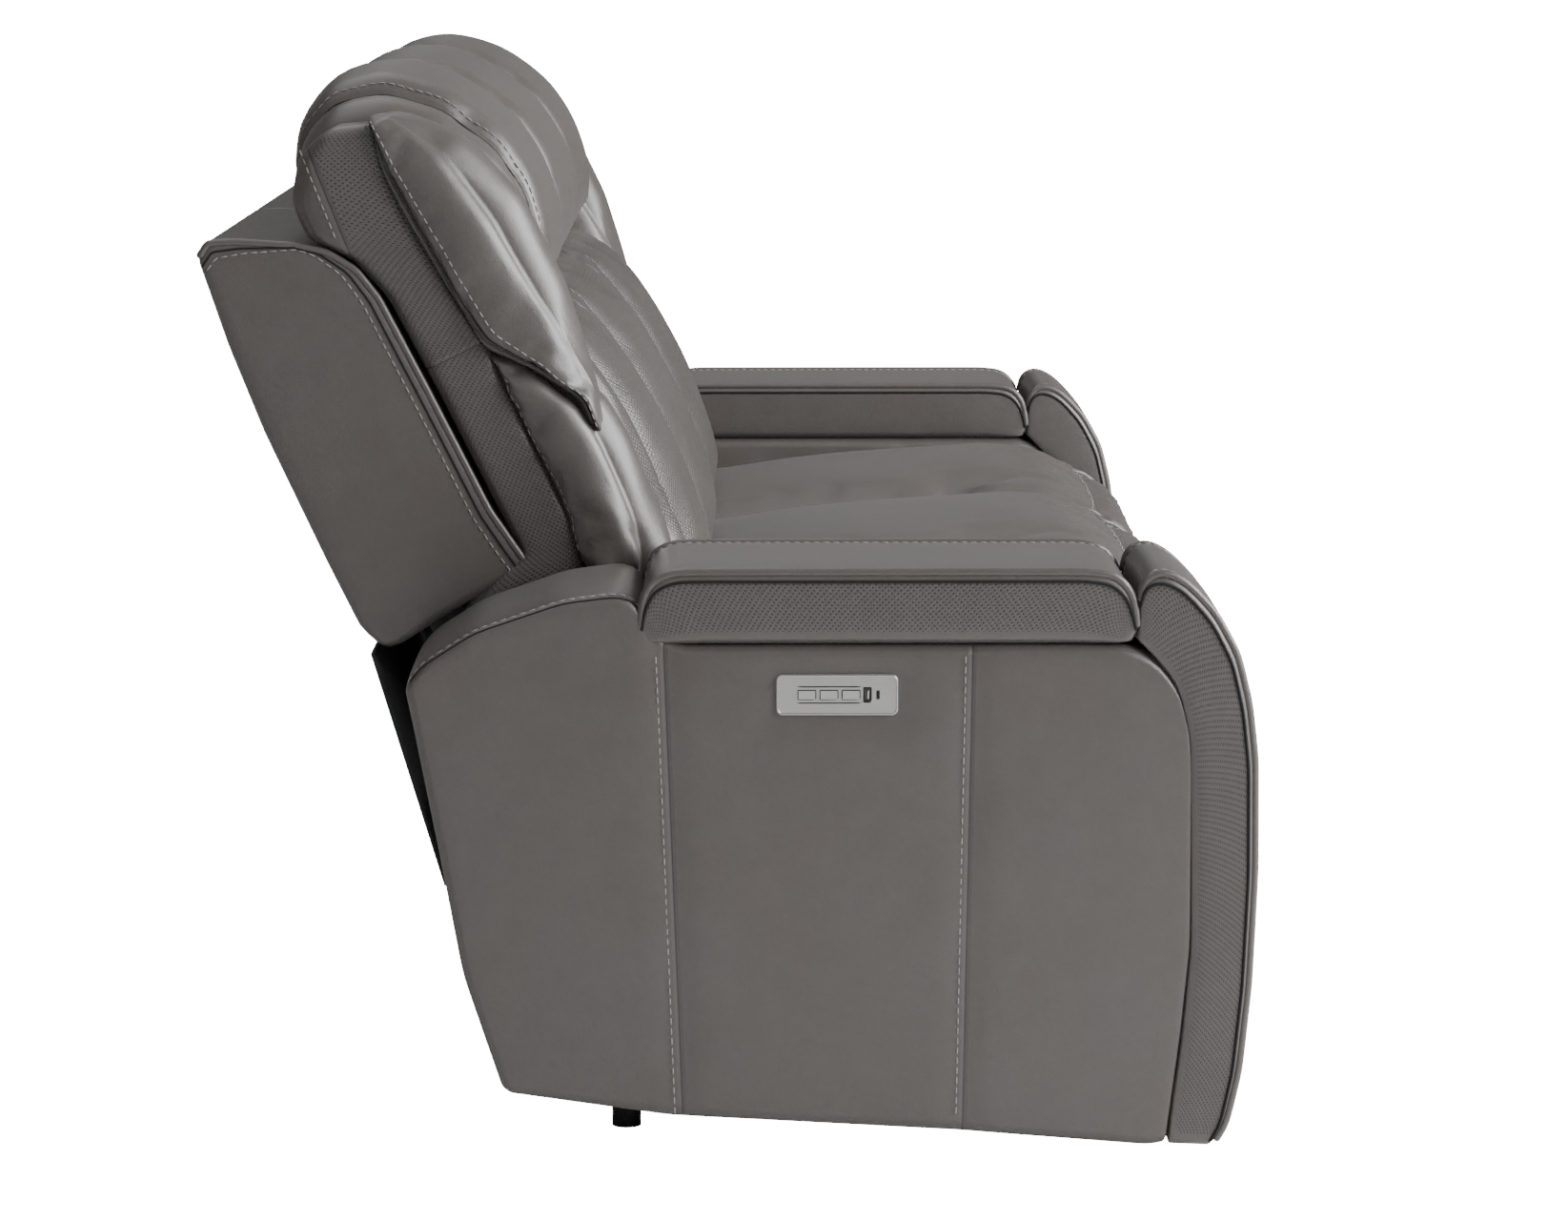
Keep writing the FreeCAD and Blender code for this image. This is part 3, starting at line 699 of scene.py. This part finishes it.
# ---------------------------------------------------------------- Footrests and the middle front panel
# Flat foam pads on plywood boards closing the front below the seats; the two outer ones swing out as footrests.
# A seam with stitches crosses each a hand's breadth below its top edge.
FOOT_FRONT = tailors_line([(-508, 386.5), (-522, 384), (-533, 366), (-537.5, 300), (-537.5, 150), (-532, 84),
                           (-518, 63)], 0.02)
FOOT_BACK = tailors_line([(-499.5, 385), (-499.5, 63)], 0.01)
FOOT_SIDE = side_shape(FOOT_FRONT, FOOT_BACK)
BAND = 0.30


def foot_relief(s, t, w, d):
    """Shallow crown on the front with a valley along the seam."""
    front = np.clip(-d[..., 1], 0, 1)
    return front * (0.003 * dome(w) * dome(s) - 0.003 - 0.003 * bell(s - BAND, 0.02))


for name, c, body, node in (("right", -PITCH, "footrest_right", "footrest_pad_right"),
                            ("middle", 0.0, "base", "front_panel_middle"),
                            ("left", PITCH, "footrest_left", "footrest_pad_left")):
    panel = stuffed(FOOT_SIDE, c - COVER_HALF, c + COVER_HALF, 0.009, foot_relief)
    cover = sewn_cover("front_panel_cover_" + name, panel, 0.012, marks=((BAND,), (), ()),
                       seams=lambda s, t, w, co: ((s - BAND) * panel.size[0],))
    finish_piece(cover, GREY_HIDE, body, replaces=[node])
    row = laid(panel, BAND + 0.007 / panel.size[0], 0, np.linspace(0.03, 0.97, 90), 0.0004)
    finish_piece(stitches("front_panel_stitching_" + name, [row]), THREAD, body)
    for end in (0, 1):
        edge = laid(panel, np.linspace(0.02, 0.98, 120), 0, end, 0)
        finish_piece(welt("front_panel_piping_%s_%d" % (name, end), 0.0038, *edge), GREY_HIDE_PLAIN, body)

# ---------------------------------------------------------------- Back shells
# The rear of each back: leather over a hollow board shell, its side panels edged with flat piping and a row of
# stitches where they meet the bolster, and again along the top.
SHELL_FRONT = tailors_line([(195, 572), (236, 631), (298, 754), (349, 852), (372, 881), (402, 899), (441, 906)], 0.012)
SHELL_REAR = tailors_line([(352, 484), (376, 505), (410, 574), (473, 709), (509, 800), (539, 892)], 0.012)
SHELL_FOOT = tailors_line([(195, 572), (240, 546), (290, 517), (330, 490), (352, 484)], 0.03)
SHELL_CAP = tailors_line([(441, 906), (500, 911), (528, 910), (539, 892)], 0.03)
SHELL_SIDE = side_shape(SHELL_FRONT, SHELL_REAR, SHELL_FOOT, SHELL_CAP)
SHELL_HALF = 0.2820
for name, c, body in BACKS:
    shell = stuffed(SHELL_SIDE, c - SHELL_HALF, c + SHELL_HALF, 0.010, lambda s, t, w, d: np.abs(d[..., 2]) * 0.0022
                    * dome(s) * dome(t) + np.clip(d[..., 1], 0, 1) * (0.004 * dome(w) - 0.003))
    cover = sewn_cover("back_shell_cover_" + name, shell, 0.012)
    finish_piece(cover, GREY_HIDE, body, replaces=["back_shell_" + name])
    if name == "middle":
        continue
    outer = 0.0 if name == "right" else 1.0
    # up the front edge of the side panel, then back along its top
    s = np.r_[np.linspace(0.01, 0.99, 200), np.ones(60)]
    t = np.r_[np.zeros(200), np.linspace(0.02, 0.97, 60)]

    def inner_line(gap):
        return np.minimum(s, 1 - gap / shell.size[0]), np.maximum(t, gap / shell.size[1])
    finish_piece(welt("back_shell_piping_" + name, 0.0040, *laid(shell, s, t, outer, 0.0006)), GREY_HIDE_PLAIN, body)
    row = laid(shell, *inner_line(0.020), outer, 0.0004)
    finish_piece(stitches("back_shell_stitching_" + name, [row]), THREAD, body)
    # Painted shade: a near-black tube in the crease just inside the piping.
    row = laid(shell, *inner_line(0.0125), outer, 0.0002)
    finish_piece(welt("back_shell_crease_" + name, 0.0011, *row), CREASE_SHADOW, body)

# ---------------------------------------------------------------- Centre back cushions
# Perforated leather over a lumbar foam, divided by two upright seams with stitches on their inner sides; the
# middle stands a little proud of the two side strips.
BACK_FRONT = tailors_line([(18, 496), (18, 530), (28, 565), (50, 615), (74, 670), (98, 718), (127, 767), (156, 802),
                           (178, 818)], 0.02)
BACK_REAR = tailors_line([(110, 508), (186, 570), (228, 634), (290, 756), (318, 838)], 0.02)
BACK_SIDE = side_shape(BACK_FRONT, BACK_REAR)


def back_block(width):
    """Relief of a centre cushion and the places of its two seams: the middle stands proud, the seams sink."""
    wa, wb = 0.075 / width, 1 - 0.075 / width

    def relief(s, t, w, d):
        front = np.clip(-d[..., 1], 0, 1)
        mid = np.where((w > wa) & (w < wb), dome(np.clip((w - wa) / (wb - wa), 0, 1)), 0)
        return front * (0.014 * mid - 0.010 * bell((w - wa) * width, 0.011) - 0.010 * bell((w - wb) * width, 0.011)
                        + 0.004 * dome(w) + 0.0015 * np.sin(11 * s + 5 * w) - 0.004)
    return relief, wa, wb


def spans(name, c, half, bolster_side):
    """Both ends in X of a piece that makes room for the bolster on the outer side of an end seat."""
    return c - (bolster_side if name == "right" else half), c + (bolster_side if name == "left" else half)


def seam_lines(wa, wb, width):
    """The two upright seams of a cover: signed distances for the painted shade along them, and the pinned points beside
    them.
    """
    def seams(s, t, w, co):
        return (w - wa) * width, (w - wb) * width
    return seams, lambda w: np.minimum(np.abs(w - wa), np.abs(w - wb)) * width < 0.002


def sew_seams(kind, name, place, s, lines, gap, radius, follow, body):
    """Near-black tubes of painted shade in the seams along a cover at the two lines, and a row of stitches on the inner
    side of each.
    """
    rows = []
    for at, inward in zip(lines, (1, -1)):
        rows.append(laid(place, s, 0, at + inward * gap / place.size[2], 0.0004, follow))
        finish_piece(welt("%s_seam_%s_%d" % (kind, name, inward), radius, *laid(place, s, 0, at, 0)), CREASE_SHADOW, body)
    finish_piece(stitches("%s_stitching_%s" % (kind, name), rows), THREAD, body)


for name, c, body in BACKS:
    x0, x1 = spans(name, c, COVER_HALF, 0.192)
    relief, wa, wb = back_block(x1 - x0)
    seams, beside = seam_lines(wa, wb, x1 - x0)
    back = stuffed(BACK_SIDE, x0, x1, 0.022, relief)
    cover = sewn_cover("back_cushion_cover_" + name, back, 0.012, marks=((), (), (wa, wb)),
                       vents=lambda s, t, w, co: np.where(t < 1e-6, 0.05, -0.05), seams=seams)
    s, t, w = GRIDS[cover.name]
    follow = swollen(cover, beside(w) | (t > 0.9), 0.005, 0.006, (c - ROOM_HALF, c + ROOM_HALF))
    finish_piece(cover, GREY_HIDE, body, replaces=["back_cushion_" + name])
    sew_seams("back_cushion", name, back, np.linspace(0.04, 0.97, 150), (wa, wb), 0.0075, 0.0014, follow, body)

# ---------------------------------------------------------------- Outer bolsters of the end backs
# Each end back is flanked by a bolster sewn from three parts: a perforated side gusset along the shell, a lower
# roll beside the cushion, and an upper wing whose piped edge runs down the side and out to its pointed tip.  The
# gusset's leather is tucked down behind the arm; flat seams cut its top and its middle.
GUSSET_FRONT = tailors_line([(112, 506), (130, 552), (151, 622), (193, 709), (236, 800), (272, 857), (314, 931),
                             (338, 980), (354, 1032)], 0.012)
GUSSET_REAR = tailors_line([(268, 498), (264, 530), (238, 562), (204, 582), (230, 632), (292, 756), (343, 853),
                            (379, 891), (424, 911), (441, 950), (433, 996), (404, 1027)], 0.012)
LOWER_FRONT = tailors_line([(90, 541), (66, 558), (64, 585), (78, 625), (95, 665), (110, 700), (134, 742), (184, 776),
                            (228, 797)], 0.02)
LOWER_REAR = tailors_line([(138, 548), (157, 622), (178, 665), (199, 709), (222, 760), (240, 799)], 0.02)
WING_FRONT = tailors_line([(112, 705), (136, 768), (170, 855), (217, 943), (272, 1010), (318, 1038), (348, 1044)], 0.02)
WING_REAR = tailors_line([(122, 704), (139, 748), (188, 780), (243, 806), (276, 855), (318, 931), (342, 980),
                          (362, 1036)], 0.02)
LOBE = ((423, 1006), (384, 908))
SPLIT = ((231, 812), (300, 778))


def roll_relief(s, t, w, d):
    """Stuffing that swells between the seams, gathered into folds that die out a hand's breadth above the arm."""
    u = np.abs(2 * w - 1)
    folds = 0.0045 * np.sin(11 * t + 7 * w - 14 * s + 1.0) * bell(s, 0.30)
    folds = folds + 0.002 * np.sin(26 * s + 9 * w) * bell(s - 0.9, 0.12)
    return (0.013 * dome(s) * dome(t) * np.abs(d[..., 2])
            + np.clip(-d[..., 1], 0, 1) * (0.016 * (1 - u ** 2) * dome(s) - 0.004) + folds)


def wing_relief(s, t, w, d):
    """Plump wing, fullest above its middle, with two shallow drag folds toward the tip."""
    u = np.abs(2 * w - 1)
    drag = 0.0016 * np.sin(9 * s + 5 * t + 3 * w) * dome(s)
    return (0.013 * dome(s) * dome(t) * np.abs(d[..., 2])
            + np.clip(-d[..., 1], 0, 1) * (0.014 * (1 - u ** 2) * dome(s) - 0.002) + drag)


for name, c, body in (BACKS[0], BACKS[2]):
    sg, outer = (-1, 0.0) if name == "right" else (1, 1.0)
    x0, x1 = sorted((c + sg * COVER_HALF, c + sg * 0.1955))
    gusset = stuffed(side_shape(GUSSET_FRONT, GUSSET_REAR), x0, x1, [(0.012, 0.018), (0.010, 0.020), (0.016, 0.016)],
                     lambda s, t, w, d: np.abs(d[..., 2]) * 0.004 * dome(s) * dome(t)
                     * (1 - 0.7 * bell(s - 0.56, 0.05)))
    cover = sewn_cover("bolster_gusset_" + name, gusset, 0.008, vents=lambda s, t, w, co: np.where(
        np.abs(w - outer) < 1e-6, np.minimum(line_gap(co, *LOBE) - 0.004, np.minimum(t, 0.94 - t) * 0.08), -0.05),
        seams=lambda s, t, w, co: (np.where(co[:, 2] > 0.88, line_gap(co, *LOBE), 1.0), line_gap(co, *SPLIT)))
    finish_piece(cover, GREY_HIDE, body, replaces=["back_bolster_" + name])
    points, n = laid_on(gusset, outer, [(y + 8, z) for y, z in LOBE])
    finish_piece(stitches("bolster_lobe_stitching_" + name, [(points + n * 0.0006, n)]), THREAD, body)

    lower = stuffed(side_shape(LOWER_FRONT, LOWER_REAR), x0 - 0.004, x1 + 0.003,
                    [(0.014, 0.030), (0.060, 0.010), (0.040, 0.040)], roll_relief)
    cover = sewn_cover("bolster_roll_" + name, lower, 0.006)
    s, t, w = GRIDS[cover.name]
    follow = swollen(cover, (t > 0.93) | (s < 0.03) | (s > 0.97), 0.028, cap=0.009)
    finish_piece(cover, GREY_HIDE, body)
    s = np.linspace(0.15, 0.96, 120)
    row = laid(lower, s, 1 - 0.007 / lower.size[1], outer, 0.0006, follow)
    finish_piece(stitches("bolster_roll_stitching_" + name, [row]), THREAD, body)
    # Painted shade: a near-black tube in the seam along the roll's rear edge.
    finish_piece(welt("bolster_roll_seam_shadow_" + name, 0.0013, *laid(lower, s, 1, outer, 0.0004)), CREASE_SHADOW, body)

    wing = stuffed(side_shape(WING_FRONT, WING_REAR), x0 - 0.006, x1 + 0.004,
                   [(0.030, 0.016), (0.076, 0.009), (0.043, 0.043)], wing_relief)
    cover = sewn_cover("bolster_wing_" + name, wing, 0.007)
    s, t, w = GRIDS[cover.name]
    follow = swollen(cover, (t > 0.93) | (s < 0.02) | (s > 0.98), 0.012, cap=0.007)
    finish_piece(cover, GREY_HIDE, body)
    s = np.linspace(0.03, 0.99, 220)
    for k, face in enumerate((outer, 1 - outer)):
        label = "_%s_%d" % (name, k)
        edge = laid(wing, s, 1, face, 0.0022)
        finish_piece(welt("bolster_wing_piping" + label, 0.0046, *edge), GREY_HIDE_PLAIN, body)
        row = laid(wing, s, 1 - 0.016 / wing.size[1], face, 0.0005, follow)
        finish_piece(stitches("bolster_wing_stitching" + label, [row]), THREAD, body)
        # Painted shade: a near-black tube in the crease just inside the piping.
        row = laid(wing, s, 1 - 0.0085 / wing.size[1], face, 0)
        finish_piece(welt("bolster_wing_crease" + label, 0.0008, *row), CREASE_SHADOW, body)

# ---------------------------------------------------------------- Headrest pillows
# Fat pillows over the tops of the backs, each with a seam near either end that pulls the crown down, stitched on
# its inner side; the end ones tip forward on their own drives.
PILLOW_TOP = tailors_line([(200, 838), (183, 862), (182, 915), (197, 970), (228, 1018), (288, 1063), (354, 1081),
                           (410, 1068), (443, 1026), (449, 975), (434, 925)], 0.02)
PILLOW_FOOT = tailors_line([(222, 842), (262, 852), (330, 886), (392, 904), (424, 914)], 0.02)
PILLOW_SIDE = side_shape(PILLOW_TOP, PILLOW_FOOT)


def pillow_block(width):
    """Relief of a pillow and the places of its two seams: the crown steps up inside them and slopes off outside."""
    wa, wb = 0.046 / width, 1 - 0.046 / width

    def relief(s, t, w, d):
        top = np.clip(-d[..., 1], 0, 1)
        inside = np.clip(np.minimum(w - wa, wb - w) * width, 0, None)
        outside = np.clip(np.maximum(wa - w, w - wb) * width, 0, None)
        rise = 0.019 * (1 - np.exp(-(inside / 0.010) ** 1.3)) - 0.10 * outside - 0.024
        mid = 0.011 * np.sin(np.pi * np.clip((w - wa) / (wb - wa), 0, 1)) ** 0.7
        return top * (rise + mid) + np.abs(d[..., 2]) * 0.006 * dome(s) * dome(t)
    return relief, wa, wb


for (name, c, _), body in zip(BACKS, ("head_right", "base", "head_left")):
    x0, x1 = spans(name, c, 0.2806, 0.190)
    relief, wa, wb = pillow_block(x1 - x0)
    seams, beside = seam_lines(wa, wb, x1 - x0)
    pillow = stuffed(PILLOW_SIDE, x0, x1, [(0.026, 0.026), (0.050, 0.026), (0.040, 0.040)], relief)
    cover = sewn_cover("pillow_cover_" + name, pillow, 0.009, marks=((), (), (wa, wb)), seams=seams)
    s, t, w = GRIDS[cover.name]
    follow = swollen(cover, beside(w) | (t > 0.97), 0.012, 0.008, (c - ROOM_HALF, c + ROOM_HALF))
    finish_piece(cover, GREY_HIDE, body, replaces=["headrest_pillow_" + name])
    sew_seams("pillow", name, pillow, np.linspace(0.03, 0.97, 170), (wa, wb), 0.0080, 0.0016, follow, body)

# ---------------------------------------------------------------- Control plates, buttons and sockets
# A pressed plate of brushed metal let into the outer side of each arm, with a thin raised rim, two fine grooves
# above and below three push buttons, and a pair of black-lined power sockets.


def stretched(g, vector, scale):
    """The same coordinates multiplied along each axis, for a pattern with a direction."""
    mp = g.nodes.new("ShaderNodeMapping")
    mp.inputs["Scale"].default_value = scale
    g.links.new(vector, mp.inputs["Vector"])
    return mp.outputs[0]


def hard_finish(name, pattern, a, b, gloss, bump):
    """Colour from a to b over the pattern, roughness gloss[0] on its low side and gloss[1] more on its high side, and
    the pattern as a fine bump of the given strength and depth."""
    m, g, bsdf, own = new_material(name)
    n = pattern(g, own)
    g.links.new(blend(g, n, a, b), bsdf.inputs["Base Color"])
    g.links.new(link_math(g, "ADD", link_math(g, "MULTIPLY", n, gloss[1]), gloss[0]), bsdf.inputs["Roughness"])
    raised(g, bsdf, n, *bump)
    return m


def brushed_metal(name, colour, rough=0.34, stretch=(1, 6, 260)):
    """Brushed metal: noise stretched along the brushing direction varies tone, roughness and bump."""
    m = hard_finish(name, lambda g, own: noise(g, stretched(g, own, stretch), 14.0, 3.0), [v * 0.82 for v in colour],
                    [min(1, v * 1.12) for v in colour], (rough - 0.1, 0.2), (0.15, 0.0002))
    m.node_tree.nodes["Principled BSDF"].inputs["Metallic"].default_value = 1.0
    return m


def moulded(name, colour, rough=0.45, scale=900.0):
    """Moulded plastic or paint: fine spark texture in the bump and a little unevenness in its gloss."""
    return hard_finish(name, lambda g, own: noise(g, own, scale), [v * 0.85 for v in colour],
                       [v * 1.15 for v in colour], (rough - 0.07, 0.15), (0.2, 0.0002))


def paint_node(node, material):
    """Puts a material on a CAD node without touching its mesh."""
    o = frame["nodes"][node]
    if not o.material_slots:
        o.data.materials.append(material)
    for k in range(len(o.material_slots)):
        o.material_slots[k].material = material


SILVER = brushed_metal("silver_plate", (0.60, 0.59, 0.57))
BLACK_PLASTIC = moulded("port_black", (0.012, 0.012, 0.013))
BUTTON_GREY = moulded("button_grey", (0.44, 0.44, 0.42), 0.35)
PLATE_RIM, RIM_CORNER = 0.0012, 0.0055
BUTTONS_AT, BUTTON_GAP = (-0.0886, -0.1106, -0.1326), (0.0087, 0.0045)
SOCKET_AT, SOCKET_GAP = -0.149, (0.0036, 0.0072)
for side, sg in SIDES:
    low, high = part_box("control_plate_" + side)
    paint_node("control_plate_" + side, SILVER)
    paint_node("usb_ports_" + side, BLACK_PLASTIC)
    for key in ("recline", "lift", "head"):
        paint_node("button_%s_%s" % (key, side), BUTTON_GREY)
    face = low.x if sg < 0 else high.x
    cy, cz = (low.y + high.y) / 2, (low.z + high.z) / 2

    def on_plate(name, radius, y, z, material, squash=1.0):
        finish_piece(welt(name, radius, np.stack([face + 0 * y, y, cz + z], -1), (sg, 0, 0), squash), material, "base")

    a = np.linspace(0, 2 * np.pi, 97)
    hy, hz = (high.y - low.y) / 2 - PLATE_RIM - RIM_CORNER, (high.z - low.z) / 2 - PLATE_RIM - RIM_CORNER
    on_plate("plate_rim_" + side, 0.0009, cy + np.sign(np.cos(a)) * hy + RIM_CORNER * np.cos(a),
             np.sign(np.sin(a)) * hz + RIM_CORNER * np.sin(a), SILVER)
    turn = np.array([(-1, -1), (1, -1), (1, 1), (-1, 1), (-1, -1)])
    u = np.linspace(0, 4, 41)
    # Painted shade: near-black tubes in the gaps round the buttons and the socket.
    for k, (y, half) in enumerate([(y, BUTTON_GAP) for y in BUTTONS_AT] + [(SOCKET_AT, SOCKET_GAP)]):
        q = [np.interp(u, range(5), turn[:, i]) * half[i] for i in (0, 1)]
        on_plate("plate_gap_%s_%d" % (side, k), 0.0007, y + q[0], q[1], CREASE_SHADOW)
    z = np.linspace(-0.0046, 0.0046, 12)
    on_plate("usb_tongue_" + side, 0.0010, -0.1496 + 0 * z, z, SILVER)
    # Painted shade: a flat near-black oval in the mouth of the USB-C socket.
    on_plate("usb_c_mouth_shadow_" + side, 0.0015, -0.1595 + 0 * z, z * 0.7, CREASE_SHADOW, 0.4)
    # Painted shade: the two grooves are near-black tubes.
    y = np.linspace(-0.078, -0.1435, 24)
    for k, dz in enumerate((0.0082, -0.0082)):
        on_plate("plate_line_%s_%d" % (side, k), 0.0006, y, dz + 0 * y, CREASE_SHADOW)

# ---------------------------------------------------------------- Frames, boards, drives, cloths and glides
# Everything under the leather: plywood, black steel boxes, zinc-plated footrest links, drive housings, the black
# cloths below and behind, and round plastic glides.


def plywood(name):
    """Birch ply: long growth rings as stretched waves of noise."""
    return hard_finish(name, lambda g, own: noise(g, stretched(g, own, (2, 24, 24)), 3.0, 5.0), (0.30, 0.19, 0.10),
                       (0.52, 0.38, 0.23), (0.62, 0.0), (0.2, 0.0004))


def lining_cloth(name, threads=5200.0):
    """Thin woven lining: two crossed waves give the threads, darkest between them."""
    m, g, bsdf, own = new_material(name)
    x = g.nodes.new("ShaderNodeSeparateXYZ")
    g.links.new(own, x.inputs[0])
    waves = [link_math(g, "SINE", link_math(g, "MULTIPLY", x.outputs[k], threads)) for k in (0, 2)]
    h = link_math(g, "MULTIPLY", *waves)
    weave = link_math(g, "ADD", link_math(g, "MULTIPLY", h, 0.5), 0.5)
    g.links.new(blend(g, weave, (0.016, 0.016, 0.017), (0.034, 0.033, 0.034)), bsdf.inputs["Base Color"])
    raised(g, bsdf, h, 0.4, 0.0003)
    bsdf.inputs["Roughness"].default_value = 0.85
    bsdf.inputs["Sheen Weight"].default_value = 0.2
    return m


finishes = {"plywood": plywood("plywood"), "black_cloth": lining_cloth("black_cloth"),
            "black_steel": moulded("black_steel", (0.03, 0.03, 0.031), 0.4, 500.0),
            "zinc_steel": brushed_metal("zinc_steel", (0.55, 0.56, 0.58), 0.36, (8, 8, 30)),
            "motor_plastic": moulded("motor_plastic", (0.025, 0.025, 0.027), 0.5),
            "glide_plastic": moulded("glide_plastic", (0.015, 0.015, 0.015), 0.5)}
for part in frame["record"]["subparts"]:
    if part["material_slot"] in finishes:
        paint_node(part["node"], finishes[part["material_slot"]])

# ---------------------------------------------------------------- Linings
# Black cloth closes the slits a sitter would otherwise see through: under each pillow, behind each seat cushion,
# and over the outer faces of the front and rear base rails.


def strip(name, marks, x0, x1, thick=0.0016):
    """Cloth of even thickness along a line (y, z) of the side view, running straight from x0 to x1."""
    line = tailors_line(marks, 0.01, 24)
    t = np.gradient(line, axis=0)
    n = np.stack([-t[:, 1], t[:, 0]], 1) / np.hypot(t[:, 0], t[:, 1])[:, None] * thick / 2
    ring = np.r_[line + n, (line - n)[::-1]]
    m = len(ring)
    co = np.concatenate([np.c_[np.full(m, x), ring] for x in (x0, x1)])
    i, k = np.arange(m), np.arange(len(line) - 1)
    j = (i + 1) % m
    caps = np.stack([k, m - 1 - k, m - 2 - k, k + 1], 1)
    ids = np.r_[np.stack([i, j, j + m, i + m], 1), caps, caps[:, ::-1] + m]
    f = co[ids]
    if np.einsum("ij,ij->i", f[:, 0], np.cross(f[:, 1], f[:, 2]) + np.cross(f[:, 2], f[:, 3])).sum() < 0:
        ids = ids[:, ::-1]
    return mesh_piece(name, co, ids)


PILLOW_LINE = [(206, 817), (228, 821), (262, 835), (325, 867), (376, 890)]
linings = []
for name, c, body in BACKS:
    linings += [("pillow_lining_" + name, PILLOW_LINE, c - 0.278, c + 0.278, body),
                ("seat_lining_" + name, [(84, 396), (84, 489)], c - 0.258, c + 0.258, "base")]
linings += [("rear_rail_cloth", [(180.5, 72), (180.5, 131)], -0.852, 0.852, "base"),
            ("front_rail_cloth", [(-431.6, 52), (-431.6, 111)], -0.852, 0.852, "base")]
for name, marks, x0, x1, body in linings:
    finish_piece(strip(name, marks, x0, x1), finishes["black_cloth"], body)

# ---------------------------------------------------------------- Studio
# A pale floor running far out, a bright even surround, a broad soft light overhead and in front, and a long lens
# looking square at the sitter's right-hand end of the sofa from a little above.
SIGHT_GLOW, SURROUND = 18.0, 0.17  # brightness of floor and surround as seen directly, and the light they give


def seen_directly(tree):
    """The glow where a camera looks straight at it, and nothing elsewhere."""
    sight = tree.nodes.new("ShaderNodeLightPath")
    return link_math(tree, "MULTIPLY", sight.outputs["Is Camera Ray"], SIGHT_GLOW)


bpy.ops.mesh.primitive_plane_add(size=60, location=(0, 0, 0))
floor = bpy.context.object
floor.name = "studio_floor"
pale = bpy.data.materials.new("studio_floor")
pale.use_nodes = True
tree, matt = pale.node_tree, pale.node_tree.nodes["Principled BSDF"].inputs
matt["Base Color"].default_value = (0.86, 0.86, 0.86, 1)
matt["Roughness"].default_value = 0.7
matt["Specular IOR Level"].default_value = 0.1
matt["Emission Color"].default_value = (1, 1, 1, 1)
tree.links.new(seen_directly(tree), matt["Emission Strength"])
floor.data.materials.append(pale)
floor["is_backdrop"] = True
world = bpy.data.worlds.new("studio")
bpy.context.scene.world = world
world.use_nodes = True
tree, surround = world.node_tree, world.node_tree.nodes["Background"].inputs
surround["Color"].default_value = (1, 1, 1, 1)
tree.links.new(link_math(tree, "ADD", seen_directly(tree), SURROUND), surround["Strength"])


def softbox(name, place, aim, size, power):
    """Rectangular lamp at a place, turned toward its aim; power in watts."""
    light = bpy.data.lights.new(name, "AREA")
    light.color = (0.975, 0.985, 1.0)
    light.shape, light.size, light.size_y, light.energy = "RECTANGLE", size[0], size[1], power
    o = bpy.data.objects.new(name, light)
    o.location = place
    o.rotation_euler = (Vector(aim) - Vector(place)).to_track_quat("-Z", "Y").to_euler()
    bpy.context.scene.collection.objects.link(o)


softbox("overhead", (0.2, 1.0, 3.4), (0, 0.2, 0.8), (4.5, 1.6), 34)
softbox("front", (-1.4, -4.0, 2.5), (-0.6, 0, 0.9), (4.6, 2.6), 540)
softbox("near_end", (-5.2, 1.4, 3.2), (-1, 0.2, 0.8), (3.0, 3.0), 21)

lens = bpy.data.cameras.new("camera")
lens.lens, lens.sensor_width = 117.44, 36.0
lens.clip_end = 100
view = bpy.data.objects.new("camera", lens)
view.location = (-6.135, -0.017, 1.2626)
pitch, yaw = -0.1386, -0.0097
look = Vector((np.cos(pitch) * np.cos(yaw), np.cos(pitch) * np.sin(yaw), np.sin(pitch)))
view.rotation_euler = look.to_track_quat("-Z", "Y").to_euler()
bpy.context.scene.collection.objects.link(view)
bpy.context.scene.camera = view

low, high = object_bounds()
